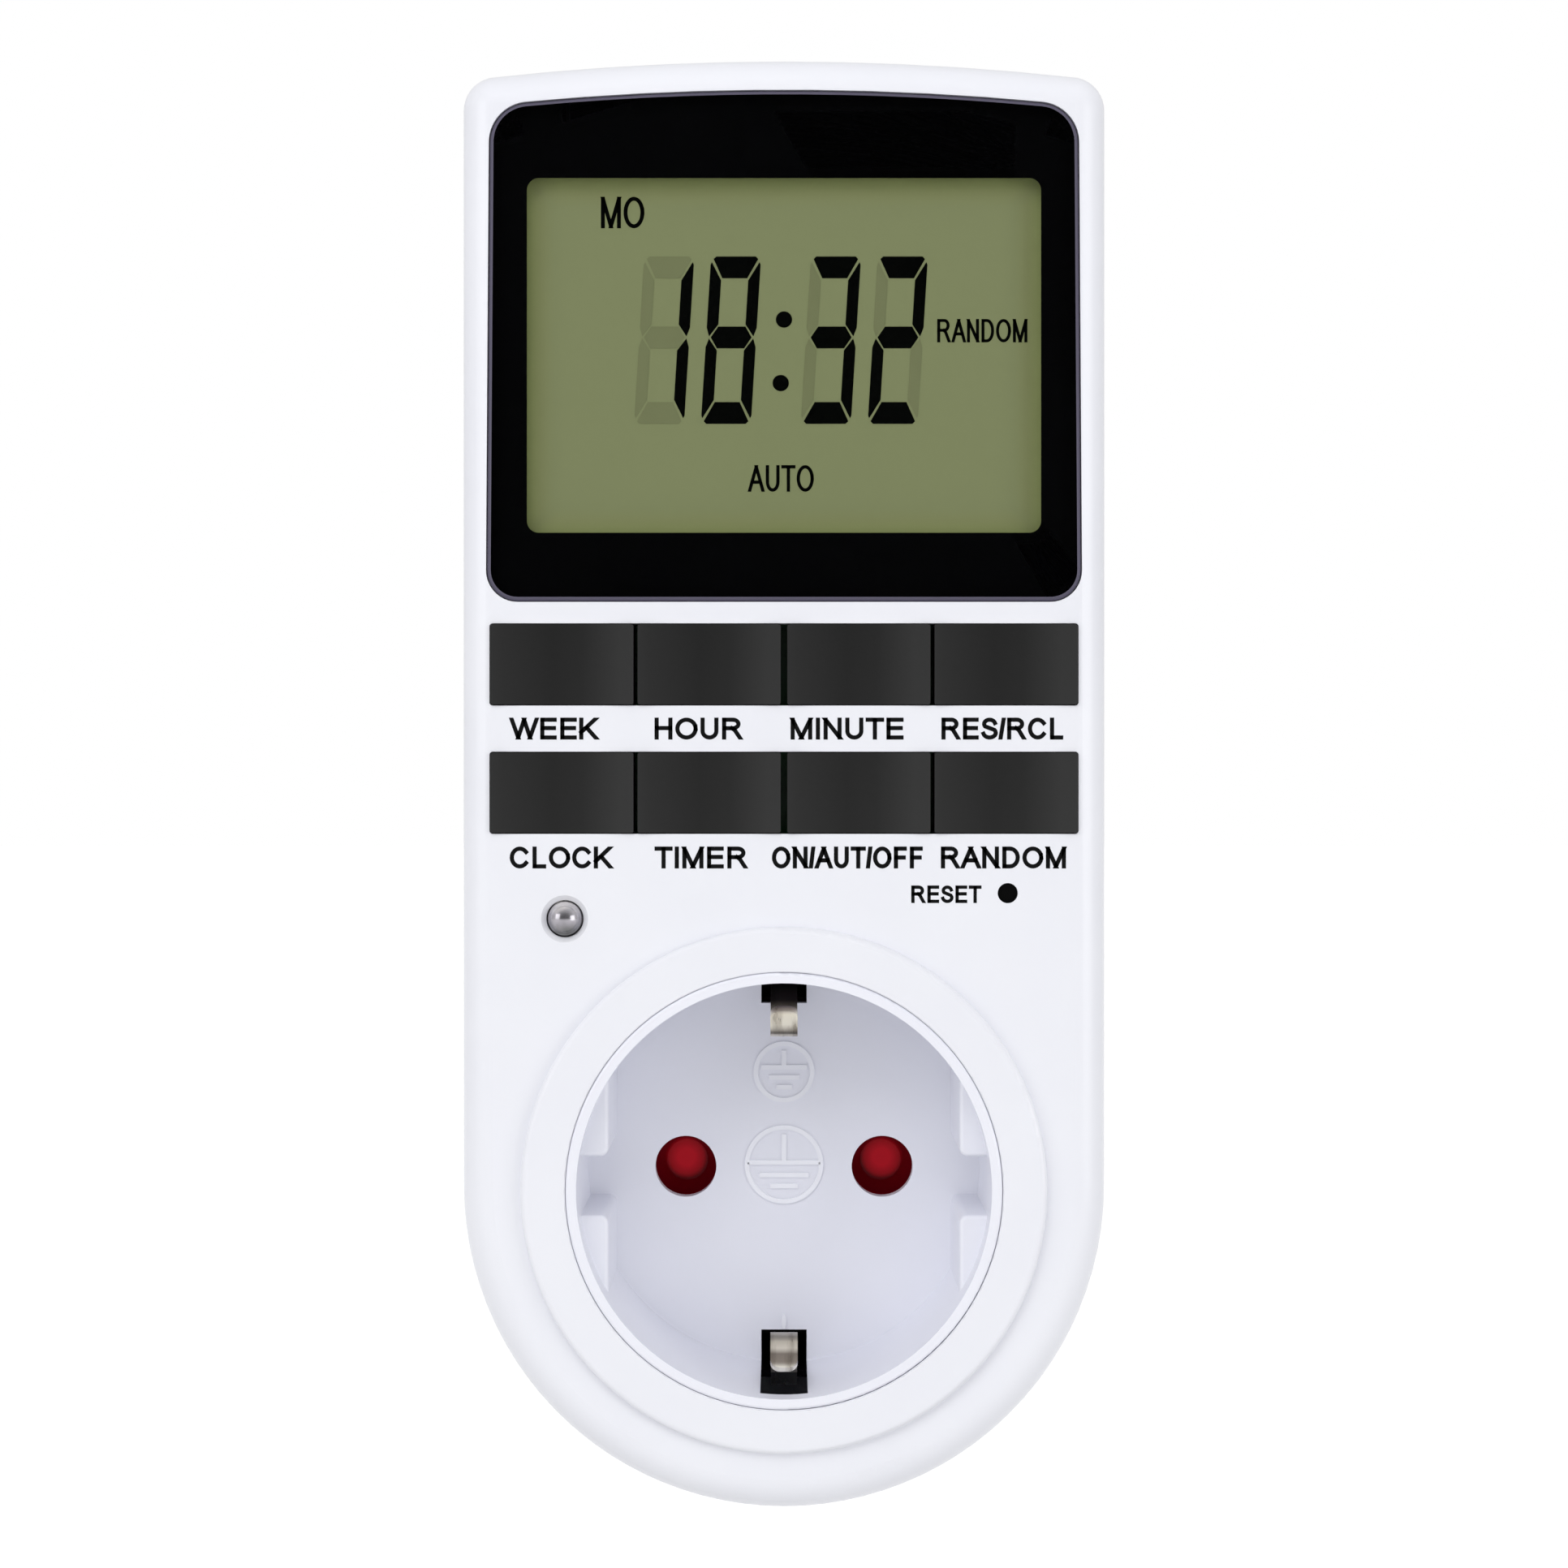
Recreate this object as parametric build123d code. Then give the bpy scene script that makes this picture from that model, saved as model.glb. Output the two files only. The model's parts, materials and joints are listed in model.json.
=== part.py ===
from build123d import *
import os
from math import cos, radians, sin, sqrt

# Plug in timer switch, in millimetres.
#
# Frame: the origin is the centre of the plug's face, on the axis that plug and socket share.
# +X is to the right of someone facing the display, +Y is into the wall and +Z is up.
# A depth is a Y value, and smaller depths are nearer the front.

# ---------------------------------------------------------------- case
body_width = 59.0
body_top = 103.5  # crown of the top edge, over the socket axis
top_arc_radius = 245.0
top_corner_radius = 3.1
inner_corner_radius = 0.9
inner_edge_radius = 0.5  # where the face wall meets the side walls inside
case_depth = 38.0  # front face to back face
front_shell_depth = 23.0  # front face to parting line
front_edge_radius = 3.0
back_edge_radius = 2.8
side_wall = 2.2
face_wall = 2.4
back_wall = 2.0
lip_height = 1.6  # tongue on the rear shell, inside the front shell's rebate
lip_clearance = 0.1
parting_chamfer = 0.25
lip_root = 2.4  # how far the tongue reaches down inside the rear shell

# ---------------------------------------------------------------- socket well
collar_width = 4.1  # insert's outside to the collar's
collar_height = 1.0
collar_edge_radius = 0.6
insert_wall = 1.0  # well's side to the insert's outside
insert_clearance = 0.1
recess_radius = 18.9
recess_depth = 17.5
recess_flat_depth = 2.75  # well's side to the guides' flats
recess_notch = 5.4  # width of the notch between two guides
guide_drop = 3.5  # ring plane down to the guides' front faces
guide_corner_radius = 0.8
guide_edge_radius = 0.4
rim_radius = 0.35
well_floor = 1.5
insert_flange_reach = 1.6
insert_flange = 1.5
pin_pitch = 19.0
pin_hole_radius = 2.95
earth_slot_width = 4.4
earth_slot_reach = 3.1  # well's side to the inner end of each slot in the floor
earth_slot_drop = 2.2  # ring plane down to the slot in the wall
skirt_rim = 0.5  # how far the skirt round the shutter stands behind its cover
skirt_wall = 1.5
skirt_seat_contacts = 2.0  # free width between the rear shell's seat and the contacts' webs
skirt_seat_strap = 0.7  # free width beside the earth strap's arm

# ---------------------------------------------------------------- shutter
post_radius = 1.8
post_clearance = 0.05
shutter_gap = 0.3  # floor to disc
shutter_back_gap = 0.9  # disc to cover, where the spring's leg lies
shutter_thickness = 4.2
wing_reach = 4.1  # pin's axis to the end of a wing
shutter_hub_radius = 4.6
shutter_wing_angle = 48.0  # each wing's full angle
dimple_rim_radius = 3.1  # the tapered dimple in each wing, which takes a pin's tip
dimple_floor_radius = 2.0
dimple_depth = 3.4
shutter_corner_radius = 1.0
shutter_ramp = 0.9  # how far a wing's face falls away on its leading side
spring_pocket_radius = 3.9
spring_pocket_depth = 1.3
spring_wire = 0.4
spring_radius = 3.1
spring_turns = 2
spring_leg = 11.0
spring_start_angle = 27.0
cover_thickness = 1.5
cover_clearance = 0.1
cover_boss_radius = 2.0
cover_boss_inset = 3.8  # skirt's inside to each boss's axis
cover_boss_angle = 112.0
cover_screw_hold = 4.0  # thread in each boss

# ---------------------------------------------------------------- plug
plug_length = 17.0  # case's back face to plug face
plug_clearance = 0.4  # all round, between a plug and a socket well of the same standard
plug_wall = 1.8
plug_face_wall = 2.5
plug_edge_radius = 0.8
pin_radius = 2.4
pin_length = 19.0
pin_tip_radius = 1.2
pin_collar_radius = 2.9
pin_collar_drop = 0.1  # the collar ends this far under the plug face
pin_flange_radius = 3.6
pin_flange = 1.5
shank_radius = 1.9
shank_end = 16.8  # depth of the shank's end inside the plug face
fit_clearance = 0.05
carrier_width = 26.0
carrier_height = 13.0
carrier_depth = 9.7
carrier_corner_radius = 1.5
earth_strip_width = 5.5
earth_strip_thickness = 0.8
earth_strip_depth = 1.2  # plug face to the strips' front ends
earth_groove_side = 0.3
earth_groove_sink = 0.5  # how far the strips lie under the plug's round side

# ---------------------------------------------------------------- contacts
strap_thickness = 0.7
strap_width = 5.0
clip_width = 2.5
strap_gap = 0.2  # well wall to strap
clip_nose_reach = 5.6  # well's side to the bend at each clip's nose
clip_nose_drop = 4.4  # ring plane to the nose
clip_tip_drop = 1.6  # ring plane to the clip's free end
clip_tip_inset = 2.4  # well's side to the clip's free end
clip_tip_radius = 0.9  # round corners of the free end
clip_root_drop = 15.5  # ring plane to the bend where a clip leaves its arm
clip_join = 4.0  # the arm narrows to a clip this far behind that bend
strap_bend = 1.2
clip_bend = 1.4
strap_base_gap = 1.2  # rear shell to strap
rivet_radius = 1.5
rivet_head_radius = 2.4
rivet_head = 0.8
contact_thickness = 0.7
contact_grip = 2.3  # half the gap between a contact's leaves
contact_depth = 7.0
contact_height = 4.0
contact_reach = 3.2  # pin axis to the leaves' lips
contact_web = 3.6  # pin axis to the web
contact_gap = 0.6  # cover to contact
terminal_depth = 15.5  # plug face to the plate on the neutral shank
terminal_height = 5.2
live_tab_length = 2.5  # leaves to the end of the live contact's solder tab
live_plate_height = 11.2
live_wire_shift = 1.0  # live pin's axis to its wire, across
live_wire_height = 6.5  # live pin's axis to its wire, upwards
lead_joint = 1.2  # leaves to the leads' solder joints
lead_run = 8.0  # height over which a lead turns up towards the board
lead_radius = 0.9
lead_bend = 1.0
lead_rise = 2.5  # solder joint to the lead's first bend
lead_landing = 2.2  # power board's lower edge to the leads' solder points

# ---------------------------------------------------------------- display
lens_bottom = 53.7
lens_top = 100.2
lens_top_side = 2.7  # case's side to the window's side, at its top
lens_bottom_side = 2.4
lens_arc_radius = 254.0
lens_top_corner = 3.6
lens_bottom_corner = 2.8
lens_thickness = 1.2
lens_proud = 0.1
lens_bevel = 0.35
lens_clearance = 0.1
mask_thickness = 0.2
view_side = 3.55  # window's side to the visible area
view_height = 32.5
view_bottom = 60.0
view_corner = 1.1
view_margin = 1.0  # the shell's opening is this much larger than the view, all round
lcd_glass = 1.3  # one of the display's two plates
lcd_border = 1.0
lcd_ledge = 2.4  # contact strip below the rear plate
lcd_gap = 0.2
reflector_thickness = 0.5
holder_wall = 1.1
holder_clearance = 0.1
holder_side_ledge = 1.5  # what the reflector rests on, at each side
holder_bottom_ledge = 2.0
holder_top_ledge = 3.0
zebra_width = 2.0
zebra_inset = 1.0  # glass edge to the strip's end

# ---------------------------------------------------------------- keys
key_names = (("week", "hour", "minute", "recall"), ("clock", "timer", "mode", "random"))
key_row_heights = (47.9, 36.2)
key_window_side = 2.65  # case's side to the keys' window
key_window_height = 7.5
key_gap = 0.38
key_middle_gap = 0.6
key_clearance = 0.1
key_proud = 0.3
key_dish = 0.35
key_edge = 0.2
key_wall = 1.0
key_travel = 0.4
key_stop_gap = 0.05
key_flange = 0.85
key_flange_reach = 0.9
key_post_radius = 1.7
switch_size = 6.0
switch_height = 3.4
plunger_radius = 1.7
plunger_length = 2.3
plunger_proud = 0.9  # how far a plunger stands out of its housing
reset_side = 9.1  # case's side to the pinhole's axis
reset_z = 27.05
reset_hole_radius = 0.92
reset_clearance = 0.07
reset_sink = 0.3
reset_flange_radius = 1.7

# ---------------------------------------------------------------- indicator
led_side = 9.5  # case's side to the lamp's axis
led_z = 24.7
led_radius = 1.6
led_hole_clearance = 0.1
led_proud = 0.9
led_length = 5.3
led_flange_radius = 2.1
led_flange = 1.0
led_countersink = 0.45
led_lead_radius = 0.25
led_lead_pitch = 1.27

# ---------------------------------------------------------------- boards and fasteners
board_thickness = 1.6
board_clearance = 0.5
board_corner_radius = 1.5
control_board_bottom = 22.0
control_board_gap = 3.5  # insert's flange to the board's edge
power_board_side = 1.8  # shell's inside to the power board's side
power_board_bottom = 26.0
power_board_top = 92.0
power_board_standoff = 2.6
control_screws = ((-12.0, 97.6), (12.0, 97.6), (-10.0, 28.6), (10.0, 28.6))
power_screw_inset = 3.5  # power board's side to its screws
power_screw_heights = (29.5, 88.0)
case_screw_side = 7.7  # case's side to the upper screws' axes
case_screw_top = 97.1
case_screw_gap = 0.1  # well's flange to the lower screws' bosses
board_boss_radius = 2.1
board_screw_radius = 0.95
board_screw_head_radius = 1.8
board_screw_head = 1.1
board_screw_length = 4.6
power_screw_length = 4.4
case_boss_radius = 2.3
case_tube_radius = 3.2
case_screw_radius = 1.4
case_screw_head_radius = 2.4
case_screw_head = 1.6
case_screw_depth = 10.0  # back face to the head's seat
case_screw_length = 16.0
screw_clearance = 0.05
head_clearance = 0.2

# ---------------------------------------------------------------- components
# A place is X and Z on the component's board.
component_corner_radius = 0.6
relay_size = (18.5, 15.5, 15.5)
relay_at = (-14.5, 40.5)
film_capacitor_size = (18.0, 8.0, 14.0)
film_capacitor_at = (11.5, 38.0)
reservoir_radii = (5.0, 4.0)
reservoir_heights = (16.0, 12.0)
reservoir_at = ((8.0, 50.5), (18.5, 50.5))
reservoir_rim_radius = 0.5
varistor_radius = 5.0
varistor_thickness = 4.0
varistor_at = (-20.0, 57.0)
diode_radius = 1.3
diode_length = 5.0
diode_pitch = 3.6
diode_at = (10.0, 60.0)
diode_count = 4
fuse_resistor_radius = 2.0
fuse_resistor_length = 9.0
fuse_resistor_at = (-6.0, 56.0)
chip_width = 12.0
chip_height = 1.6
chip_edge = 0.3
chip_at = (-8.0, 78.0)
crystal_length = 10.5
crystal_width = 4.4
crystal_height = 3.4
crystal_at = (6.0, 66.0)
battery_radius = 7.8
battery_height = 5.4
battery_edge_radius = 0.8
battery_at = (14.0, 82.0)
ribbon_width = 10.0
ribbon_thickness = 1.0
ribbon_x = -14.0
ribbon_front_z = 62.0
ribbon_back_z = 72.0
ribbon_stand = 5.0  # straight run at each board
ribbon_bend = 2.0

# ---------------------------------------------------------------- stations worked out from the sizes
back_y = -plug_length
face_y = back_y - case_depth
parting_y = face_y + front_shell_depth
inner_face_y = face_y + face_wall
inner_back_y = back_y - back_wall
ring_y = face_y - collar_height
floor_y = ring_y + recess_depth
floor_back_y = floor_y + well_floor
shutter_front_y = floor_back_y + shutter_gap
shutter_back_y = shutter_front_y + shutter_thickness
cover_front_y = shutter_back_y + shutter_back_gap
cover_back_y = cover_front_y + cover_thickness
insert_back_y = cover_back_y + skirt_rim
pin_x = pin_pitch / 2
insert_radius = recess_radius + insert_wall
insert_flange_radius = insert_radius + insert_flange_reach
collar_radius = insert_radius + collar_width
recess_flat = recess_radius - recess_flat_depth
earth_slot_inner = recess_radius - earth_slot_reach
skirt_inner_radius = insert_radius - skirt_wall
cover_boss_pitch_radius = skirt_inner_radius - cover_boss_inset
shutter_radius = pin_x + wing_reach
clip_nose_radius = recess_radius - clip_nose_reach
clip_tip_z = recess_radius - clip_tip_inset
plug_radius = recess_radius - plug_clearance
plug_flat = recess_flat - plug_clearance
plug_rib = recess_notch - 2 * plug_clearance
plug_inner_y = -plug_face_wall
carrier_back_y = plug_inner_y - carrier_depth
strap_base_y = inner_back_y - strap_base_gap
lens_top_width = body_width - 2 * lens_top_side
lens_bottom_width = body_width - 2 * lens_bottom_side
view_width = lens_bottom_width - 2 * view_side
view_centre_z = view_bottom + view_height / 2
lens_pocket = lens_thickness + mask_thickness - lens_proud
lcd_front_y = inner_face_y + lcd_gap
lcd_ledge_y = lcd_front_y + lcd_glass
lcd_back_y = lcd_ledge_y + lcd_glass
reflector_back_y = lcd_back_y + reflector_thickness
lcd_width = view_width + 2 * lcd_border
lcd_top = view_bottom + view_height + lcd_border
lcd_bottom = view_bottom - lcd_border
zebra_length = lcd_width - 2 * zebra_inset
flange_front_y = inner_face_y + key_stop_gap
flange_back_y = flange_front_y + key_flange
switch_front_y = flange_back_y + plunger_proud
board_front_y = switch_front_y + switch_height
board_back_y = board_front_y + board_thickness
power_back_y = inner_back_y - power_board_standoff
power_front_y = power_back_y - board_thickness
power_board_width = body_width - 2 * (side_wall + power_board_side)
power_screw_x = power_board_width / 2 - power_screw_inset
power_screws = [(x, z) for z in power_screw_heights for x in (-power_screw_x, power_screw_x)]
case_screw_x = body_width / 2 - case_screw_side
lower_screw_x = (insert_flange_radius + case_boss_radius + case_screw_gap) * cos(radians(45))
case_screws_at = [(side * case_screw_x, case_screw_top) for side in (-1, 1)]
case_screws_at += [(side * lower_screw_x, -lower_screw_x) for side in (-1, 1)]
key_window_width = body_width - 2 * key_window_side
reset_x = body_width / 2 - reset_side
led_x = led_side - body_width / 2
key_width = (key_window_width - 2 * key_clearance - 2 * key_gap - key_middle_gap) / 4
key_height = key_window_height - 2 * key_clearance
key_front_y = face_y - key_proud


# ---------------------------------------------------------------- drawing helpers
def slab(profile, back, front):
    """Extrudes a front-view profile, drawn in X and Z, from the depth back forwards to front."""
    return extrude(Plane.XZ.offset(-back) * profile, amount=back - front)


def rod(radius, x, z, back, front):
    """A round bar along the depth, centred at x and z."""
    return slab(Pos(x, z) * Circle(radius), back, front)


def block(width, height, x, z, back, front):
    """A square bar along the depth, centred at x and z."""
    return slab(Pos(x, z) * Rectangle(width, height), back, front)


def radial_block(width, inner, outer, side, back, front):
    """A bar across the vertical radius, from inner to outer, above the axis for side 1 and below for -1."""
    return block(width, outer - inner, 0, side * (inner + outer) / 2, back, front)


def front_edges(solid):
    """The edges that lie wholly in a solid's foremost plane."""
    return solid.edges().group_by(Axis.Y)[0]


def back_edges(solid):
    """The edges that lie wholly in a solid's rearmost plane."""
    return solid.edges().group_by(Axis.Y)[-1]


def side_strip(points, radius, thickness, width):
    """A bent strip whose centre line is drawn in Y and Z, centred across X."""
    path = FilletPolyline(*points, radius=radius)
    return extrude(Plane.YZ * trace(path, thickness), amount=width / 2, both=True)


def outline(inset=0.0):
    """The case from the front: a half circle, two straight sides and a crowned top."""
    half = body_width / 2 - inset
    crown = top_arc_radius - inset
    shoulder = body_top - top_arc_radius + sqrt(crown**2 - half**2)
    face = make_face(
        [
            ThreePointArc((-half, 0), (0, -half), (half, 0)),
            Line((half, 0), (half, shoulder)),
            ThreePointArc((half, shoulder), (0, body_top - inset), (-half, shoulder)),
            Line((-half, shoulder), (-half, 0)),
        ]
    )
    corners = face.vertices().sort_by(Axis.Y)[-2:]
    return fillet(corners, max(top_corner_radius - inset, inner_corner_radius))


def lens_outline(inset=0.0):
    """The display window from the front: an arched top, nearly upright sides and round corners."""
    bottom = lens_bottom + inset
    top = lens_top - inset
    half_bottom = lens_bottom_width / 2 - inset
    half_top = lens_top_width / 2 - inset
    crown = lens_arc_radius - inset
    shoulder = top - crown + sqrt(crown**2 - half_top**2)
    face = make_face(
        [
            Line((-half_bottom, bottom), (half_bottom, bottom)),
            Line((half_bottom, bottom), (half_top, shoulder)),
            ThreePointArc((half_top, shoulder), (0, top), (-half_top, shoulder)),
            Line((-half_top, shoulder), (-half_bottom, bottom)),
        ]
    )
    corners = face.vertices().sort_by(Axis.Y)
    face = fillet(corners[-2:], lens_top_corner - inset)
    corners = face.vertices().sort_by(Axis.Y)
    return fillet(corners[:2], lens_bottom_corner - inset)


def plug_profile(radius, flat, rib):
    """The standard's round section with two flats, and a rib or notch of width rib across them."""
    return Circle(radius) & (Rectangle(2 * flat, 2 * radius) + Rectangle(2 * radius, rib))


def view_window(margin=0.0):
    """The display's visible area, grown by margin all round."""
    size = (view_width + 2 * margin, view_height + 2 * margin)
    return Pos(0, view_centre_z) * RectangleRounded(*size, view_corner + margin)


def screw(x, z, seat_y, head_radius, head, radius, length, towards=-1):
    """A pan-head screw whose head sits on seat_y and whose shank runs towards -Y, or +Y for 1."""
    seats = sorted((seat_y, seat_y - towards * head), reverse=True)
    cap = rod(head_radius, x, z, *seats)
    rim = back_edges(cap) if towards < 0 else front_edges(cap)
    cap = fillet(rim, head / 2)
    shank = sorted((seat_y, seat_y + towards * length), reverse=True)
    slot_y = seat_y - towards * head
    slot = sorted((slot_y, slot_y + towards * head / 2), reverse=True)
    cross = block(head_radius, head_radius / 4, x, z, *slot)
    cross += block(head_radius / 4, head_radius, x, z, *slot)
    return cap + rod(radius, x, z, *shank) - cross


def ring_of_two(shape):
    """A shape and its copy half a turn round the socket axis."""
    return [shape, Rot(0, 180, 0) * shape]


# ---------------------------------------------------------------- case
def collar():
    """The raised ring round the socket well, standing on the shell's inner face plane."""
    ring = rod(collar_radius, 0, 0, inner_face_y, ring_y)
    return fillet(front_edges(ring), collar_edge_radius)


def front_shell():
    """Front half of the case: a moulded tray with the collar, windows, screw bosses and a rebated rim."""
    shell = slab(outline(), parting_y, face_y)
    shell = chamfer(back_edges(shell), parting_chamfer)
    shell = fillet(front_edges(shell), front_edge_radius)
    hollow = slab(outline(side_wall), parting_y, inner_face_y)
    shell -= fillet(front_edges(hollow), inner_edge_radius)
    shell -= slab(outline(side_wall / 2), parting_y, parting_y - lip_height - lip_clearance)
    shell += collar()
    for x, z in case_screws_at:
        shell += rod(case_boss_radius, x, z, parting_y - lip_height - lip_clearance, inner_face_y)
        shell -= rod(case_screw_radius + screw_clearance, x, z, parting_y, inner_face_y)
    for x, z in control_screws:
        shell += rod(board_boss_radius, x, z, board_front_y, inner_face_y)
        shell -= rod(board_screw_radius + screw_clearance, x, z, board_front_y, inner_face_y)
    shell -= rod(insert_radius + insert_clearance, 0, 0, inner_face_y, ring_y)
    shell -= slab(lens_outline(-lens_clearance), face_y + lens_pocket, face_y)
    shell -= slab(view_window(view_margin), inner_face_y, face_y)
    for row in key_row_heights:
        window = RectangleRounded(key_window_width, key_window_height, key_edge + key_clearance)
        shell -= slab(Pos(0, row) * window, inner_face_y, face_y)
    shell -= rod(reset_hole_radius, reset_x, reset_z, inner_face_y, face_y)
    led_hole = led_radius + led_hole_clearance
    shell -= rod(led_hole, led_x, led_z, inner_face_y, face_y)
    sink = Cone(led_hole, led_hole + led_countersink, led_countersink)
    shell -= Pos(led_x, face_y + led_countersink / 2, led_z) * Rot(90, 0, 0) * sink
    return shell


def rear_shell():
    """Back half of the case with the hollow plug boss, screw tubes and the wall behind the well."""
    shell = slab(outline(), back_y, parting_y)
    shell = chamfer(front_edges(shell), parting_chamfer)
    shell = fillet(back_edges(shell), back_edge_radius)
    shell -= slab(outline(side_wall), inner_back_y, parting_y)
    lip = outline(side_wall / 2 + lip_clearance) - outline(side_wall)
    shell += slab(lip, parting_y + lip_root, parting_y - lip_height)

    seat = Circle(insert_radius) - Circle(skirt_inner_radius)
    top_gap = 2 * (pin_x + contact_web + skirt_seat_contacts)
    seat -= Pos(0, recess_radius) * Rectangle(top_gap, 2 * recess_radius)
    seat -= Pos(0, -recess_radius) * Rectangle(strap_width + 2 * skirt_seat_strap, 2 * recess_radius)
    shell += slab(seat, inner_back_y, insert_back_y + cover_clearance)

    boss = slab(plug_profile(plug_radius, plug_flat, plug_rib), 0, back_y)
    shell += fillet(back_edges(boss), plug_edge_radius)
    cavity = Circle(plug_radius - plug_wall)
    cavity_top = earth_groove_floor() - plug_wall
    cavity &= Rectangle(2 * (plug_flat - plug_wall), 2 * cavity_top)
    shell -= slab(cavity, plug_inner_y, inner_back_y)
    groove_width = earth_strip_width + 2 * earth_groove_side
    groove_end_y = carrier_back_y - earth_strip_thickness - fit_clearance
    bend_room_y = carrier_back_y + earth_strip_thickness / 2
    for side in (1, -1):
        shell -= radial_block(groove_width, earth_groove_floor(), plug_radius, side, 0, groove_end_y)
        shell -= radial_block(groove_width, cavity_top, plug_radius, side, bend_room_y, groove_end_y)
        shell -= rod(pin_collar_radius + fit_clearance, side * pin_x, 0, 0, plug_inner_y)

    for x, z in case_screws_at:
        shell += rod(case_tube_radius, x, z, inner_back_y, parting_y)
        shell -= rod(case_screw_head_radius + head_clearance, x, z, back_y, back_y - case_screw_depth)
        shell -= rod(case_screw_radius + screw_clearance, x, z, back_y, parting_y)
    for x, z in power_screws:
        shell += rod(board_boss_radius, x, z, inner_back_y, power_back_y)
        shell -= rod(board_screw_radius + screw_clearance, x, z, inner_back_y + back_wall / 2, power_back_y)
    return shell


def earth_groove_floor():
    """Axis to the floor of the grooves in the plug's side, under the earth strips."""
    return plug_radius - earth_groove_sink - earth_strip_thickness - fit_clearance


# ---------------------------------------------------------------- socket well and shutter
def socket_insert():
    """The round well that takes a plug: pin holes and earth slots, with a skirt and a post behind."""
    cup = rod(insert_radius, 0, 0, insert_back_y, ring_y)
    cup = fillet(front_edges(cup), rim_radius)
    cup += rod(insert_flange_radius, 0, 0, inner_face_y + insert_flange, inner_face_y)
    cup -= rod(recess_radius, 0, 0, floor_y, ring_y)
    cup -= rod(skirt_inner_radius, 0, 0, insert_back_y, floor_back_y)
    cup += rod(post_radius, 0, 0, cover_back_y, floor_back_y)
    for boss in cover_boss_places():
        cup += rod(cover_boss_radius, *boss, cover_front_y, floor_back_y)
        cup -= rod(board_screw_radius + screw_clearance, *boss, cover_front_y, floor_y + well_floor / 2)
    slot_y = ring_y + earth_slot_drop
    arm_notch = strap_width + 2 * strap_gap
    reach = insert_flange_radius
    for side in (1, -1):
        cup -= rod(pin_hole_radius, side * pin_x, 0, floor_back_y, floor_y)
        cup -= radial_block(earth_slot_width, earth_slot_inner, reach, side, insert_back_y, slot_y)
        cup -= radial_block(arm_notch, insert_radius, reach, side, insert_back_y, slot_y)
    return cup


def well_guides():
    """Four lobes on the well's side, whose flats and notches key a plug."""
    section = Circle(recess_radius) - plug_profile(recess_radius, recess_flat, recess_notch)
    inner = section.vertices().filter_by(lambda corner: abs(corner.X) < recess_flat + fit_clearance)
    corners = inner.filter_by(lambda corner: abs(corner.Y) < recess_notch)
    lobes = slab(fillet(corners, guide_corner_radius), floor_y, ring_y + guide_drop)
    rim = front_edges(lobes)
    small_arcs = rim.filter_by(GeomType.CIRCLE).filter_by(lambda arc: arc.radius < recess_flat)
    return fillet(rim.filter_by(GeomType.LINE) + small_arcs, guide_edge_radius)


def cover_boss_places():
    """X and Z of the two screws that hold the shutter's cover."""
    x = cover_boss_pitch_radius * cos(radians(cover_boss_angle))
    z = cover_boss_pitch_radius * sin(radians(cover_boss_angle))
    return (x, z), (-x, -z)


def shutter():
    """Turning safety disc: a hub and two ramped wings, with a dimple behind each pin hole."""
    half = shutter_wing_angle / 2
    tip = (2 * shutter_radius * cos(radians(half)), 2 * shutter_radius * sin(radians(half)))
    wedge = make_face(Polyline((0, 0), tip, (tip[0], -tip[1]), close=True))
    wing = slab(Circle(shutter_radius) & wedge, shutter_back_y, shutter_front_y)
    wing = fillet(wing.edges().filter_by(Axis.Y).sort_by(Axis.X)[-2:], shutter_corner_radius)
    slope = shutter_ramp / (shutter_radius * sin(radians(half)))
    ahead_y = shutter_front_y - shutter_gap
    ramp = Polyline(
        (shutter_front_y, 0),
        (ahead_y, 0),
        (ahead_y, tip[1]),
        (shutter_front_y + slope * tip[1], tip[1]),
        close=True,
    )
    wing -= extrude(Plane.YZ * make_face(ramp), amount=2 * shutter_radius)
    dimple = Cone(dimple_floor_radius, dimple_rim_radius, dimple_depth)
    wing -= Pos(pin_x, shutter_front_y + dimple_depth / 2, 0) * Rot(90, 0, 0) * dimple
    disc = rod(shutter_hub_radius, 0, 0, shutter_back_y, shutter_front_y)
    for blade in ring_of_two(wing):
        disc += blade
    disc -= rod(post_radius + post_clearance, 0, 0, shutter_back_y, shutter_front_y)
    pocket = Circle(spring_pocket_radius) - Circle(post_radius + post_clearance)
    disc -= slab(pocket, shutter_back_y, shutter_back_y - spring_pocket_depth)
    return disc


def shutter_spring():
    """Torsion spring round the post: a coil in the shutter's pocket and a leg to a cover boss."""
    leg_y = shutter_back_y + spring_wire / 2 + 2 * fit_clearance
    height = leg_y - (shutter_back_y - spring_pocket_depth + spring_wire / 2 + fit_clearance)
    coil = Helix(pitch=height / spring_turns, height=height, radius=spring_radius)
    coil = Pos(0, leg_y - height, 0) * Rot(0, -spring_start_angle, 0) * Rot(-90, 0, 0) * coil
    section = Plane(origin=coil @ 0, z_dir=coil % 0) * Circle(spring_wire / 2)
    wire = sweep(section, path=coil, is_frenet=True)
    leg = Plane(origin=coil @ 1, z_dir=coil % 1) * Circle(spring_wire / 2)
    return wire + extrude(leg, amount=spring_leg)


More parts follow.
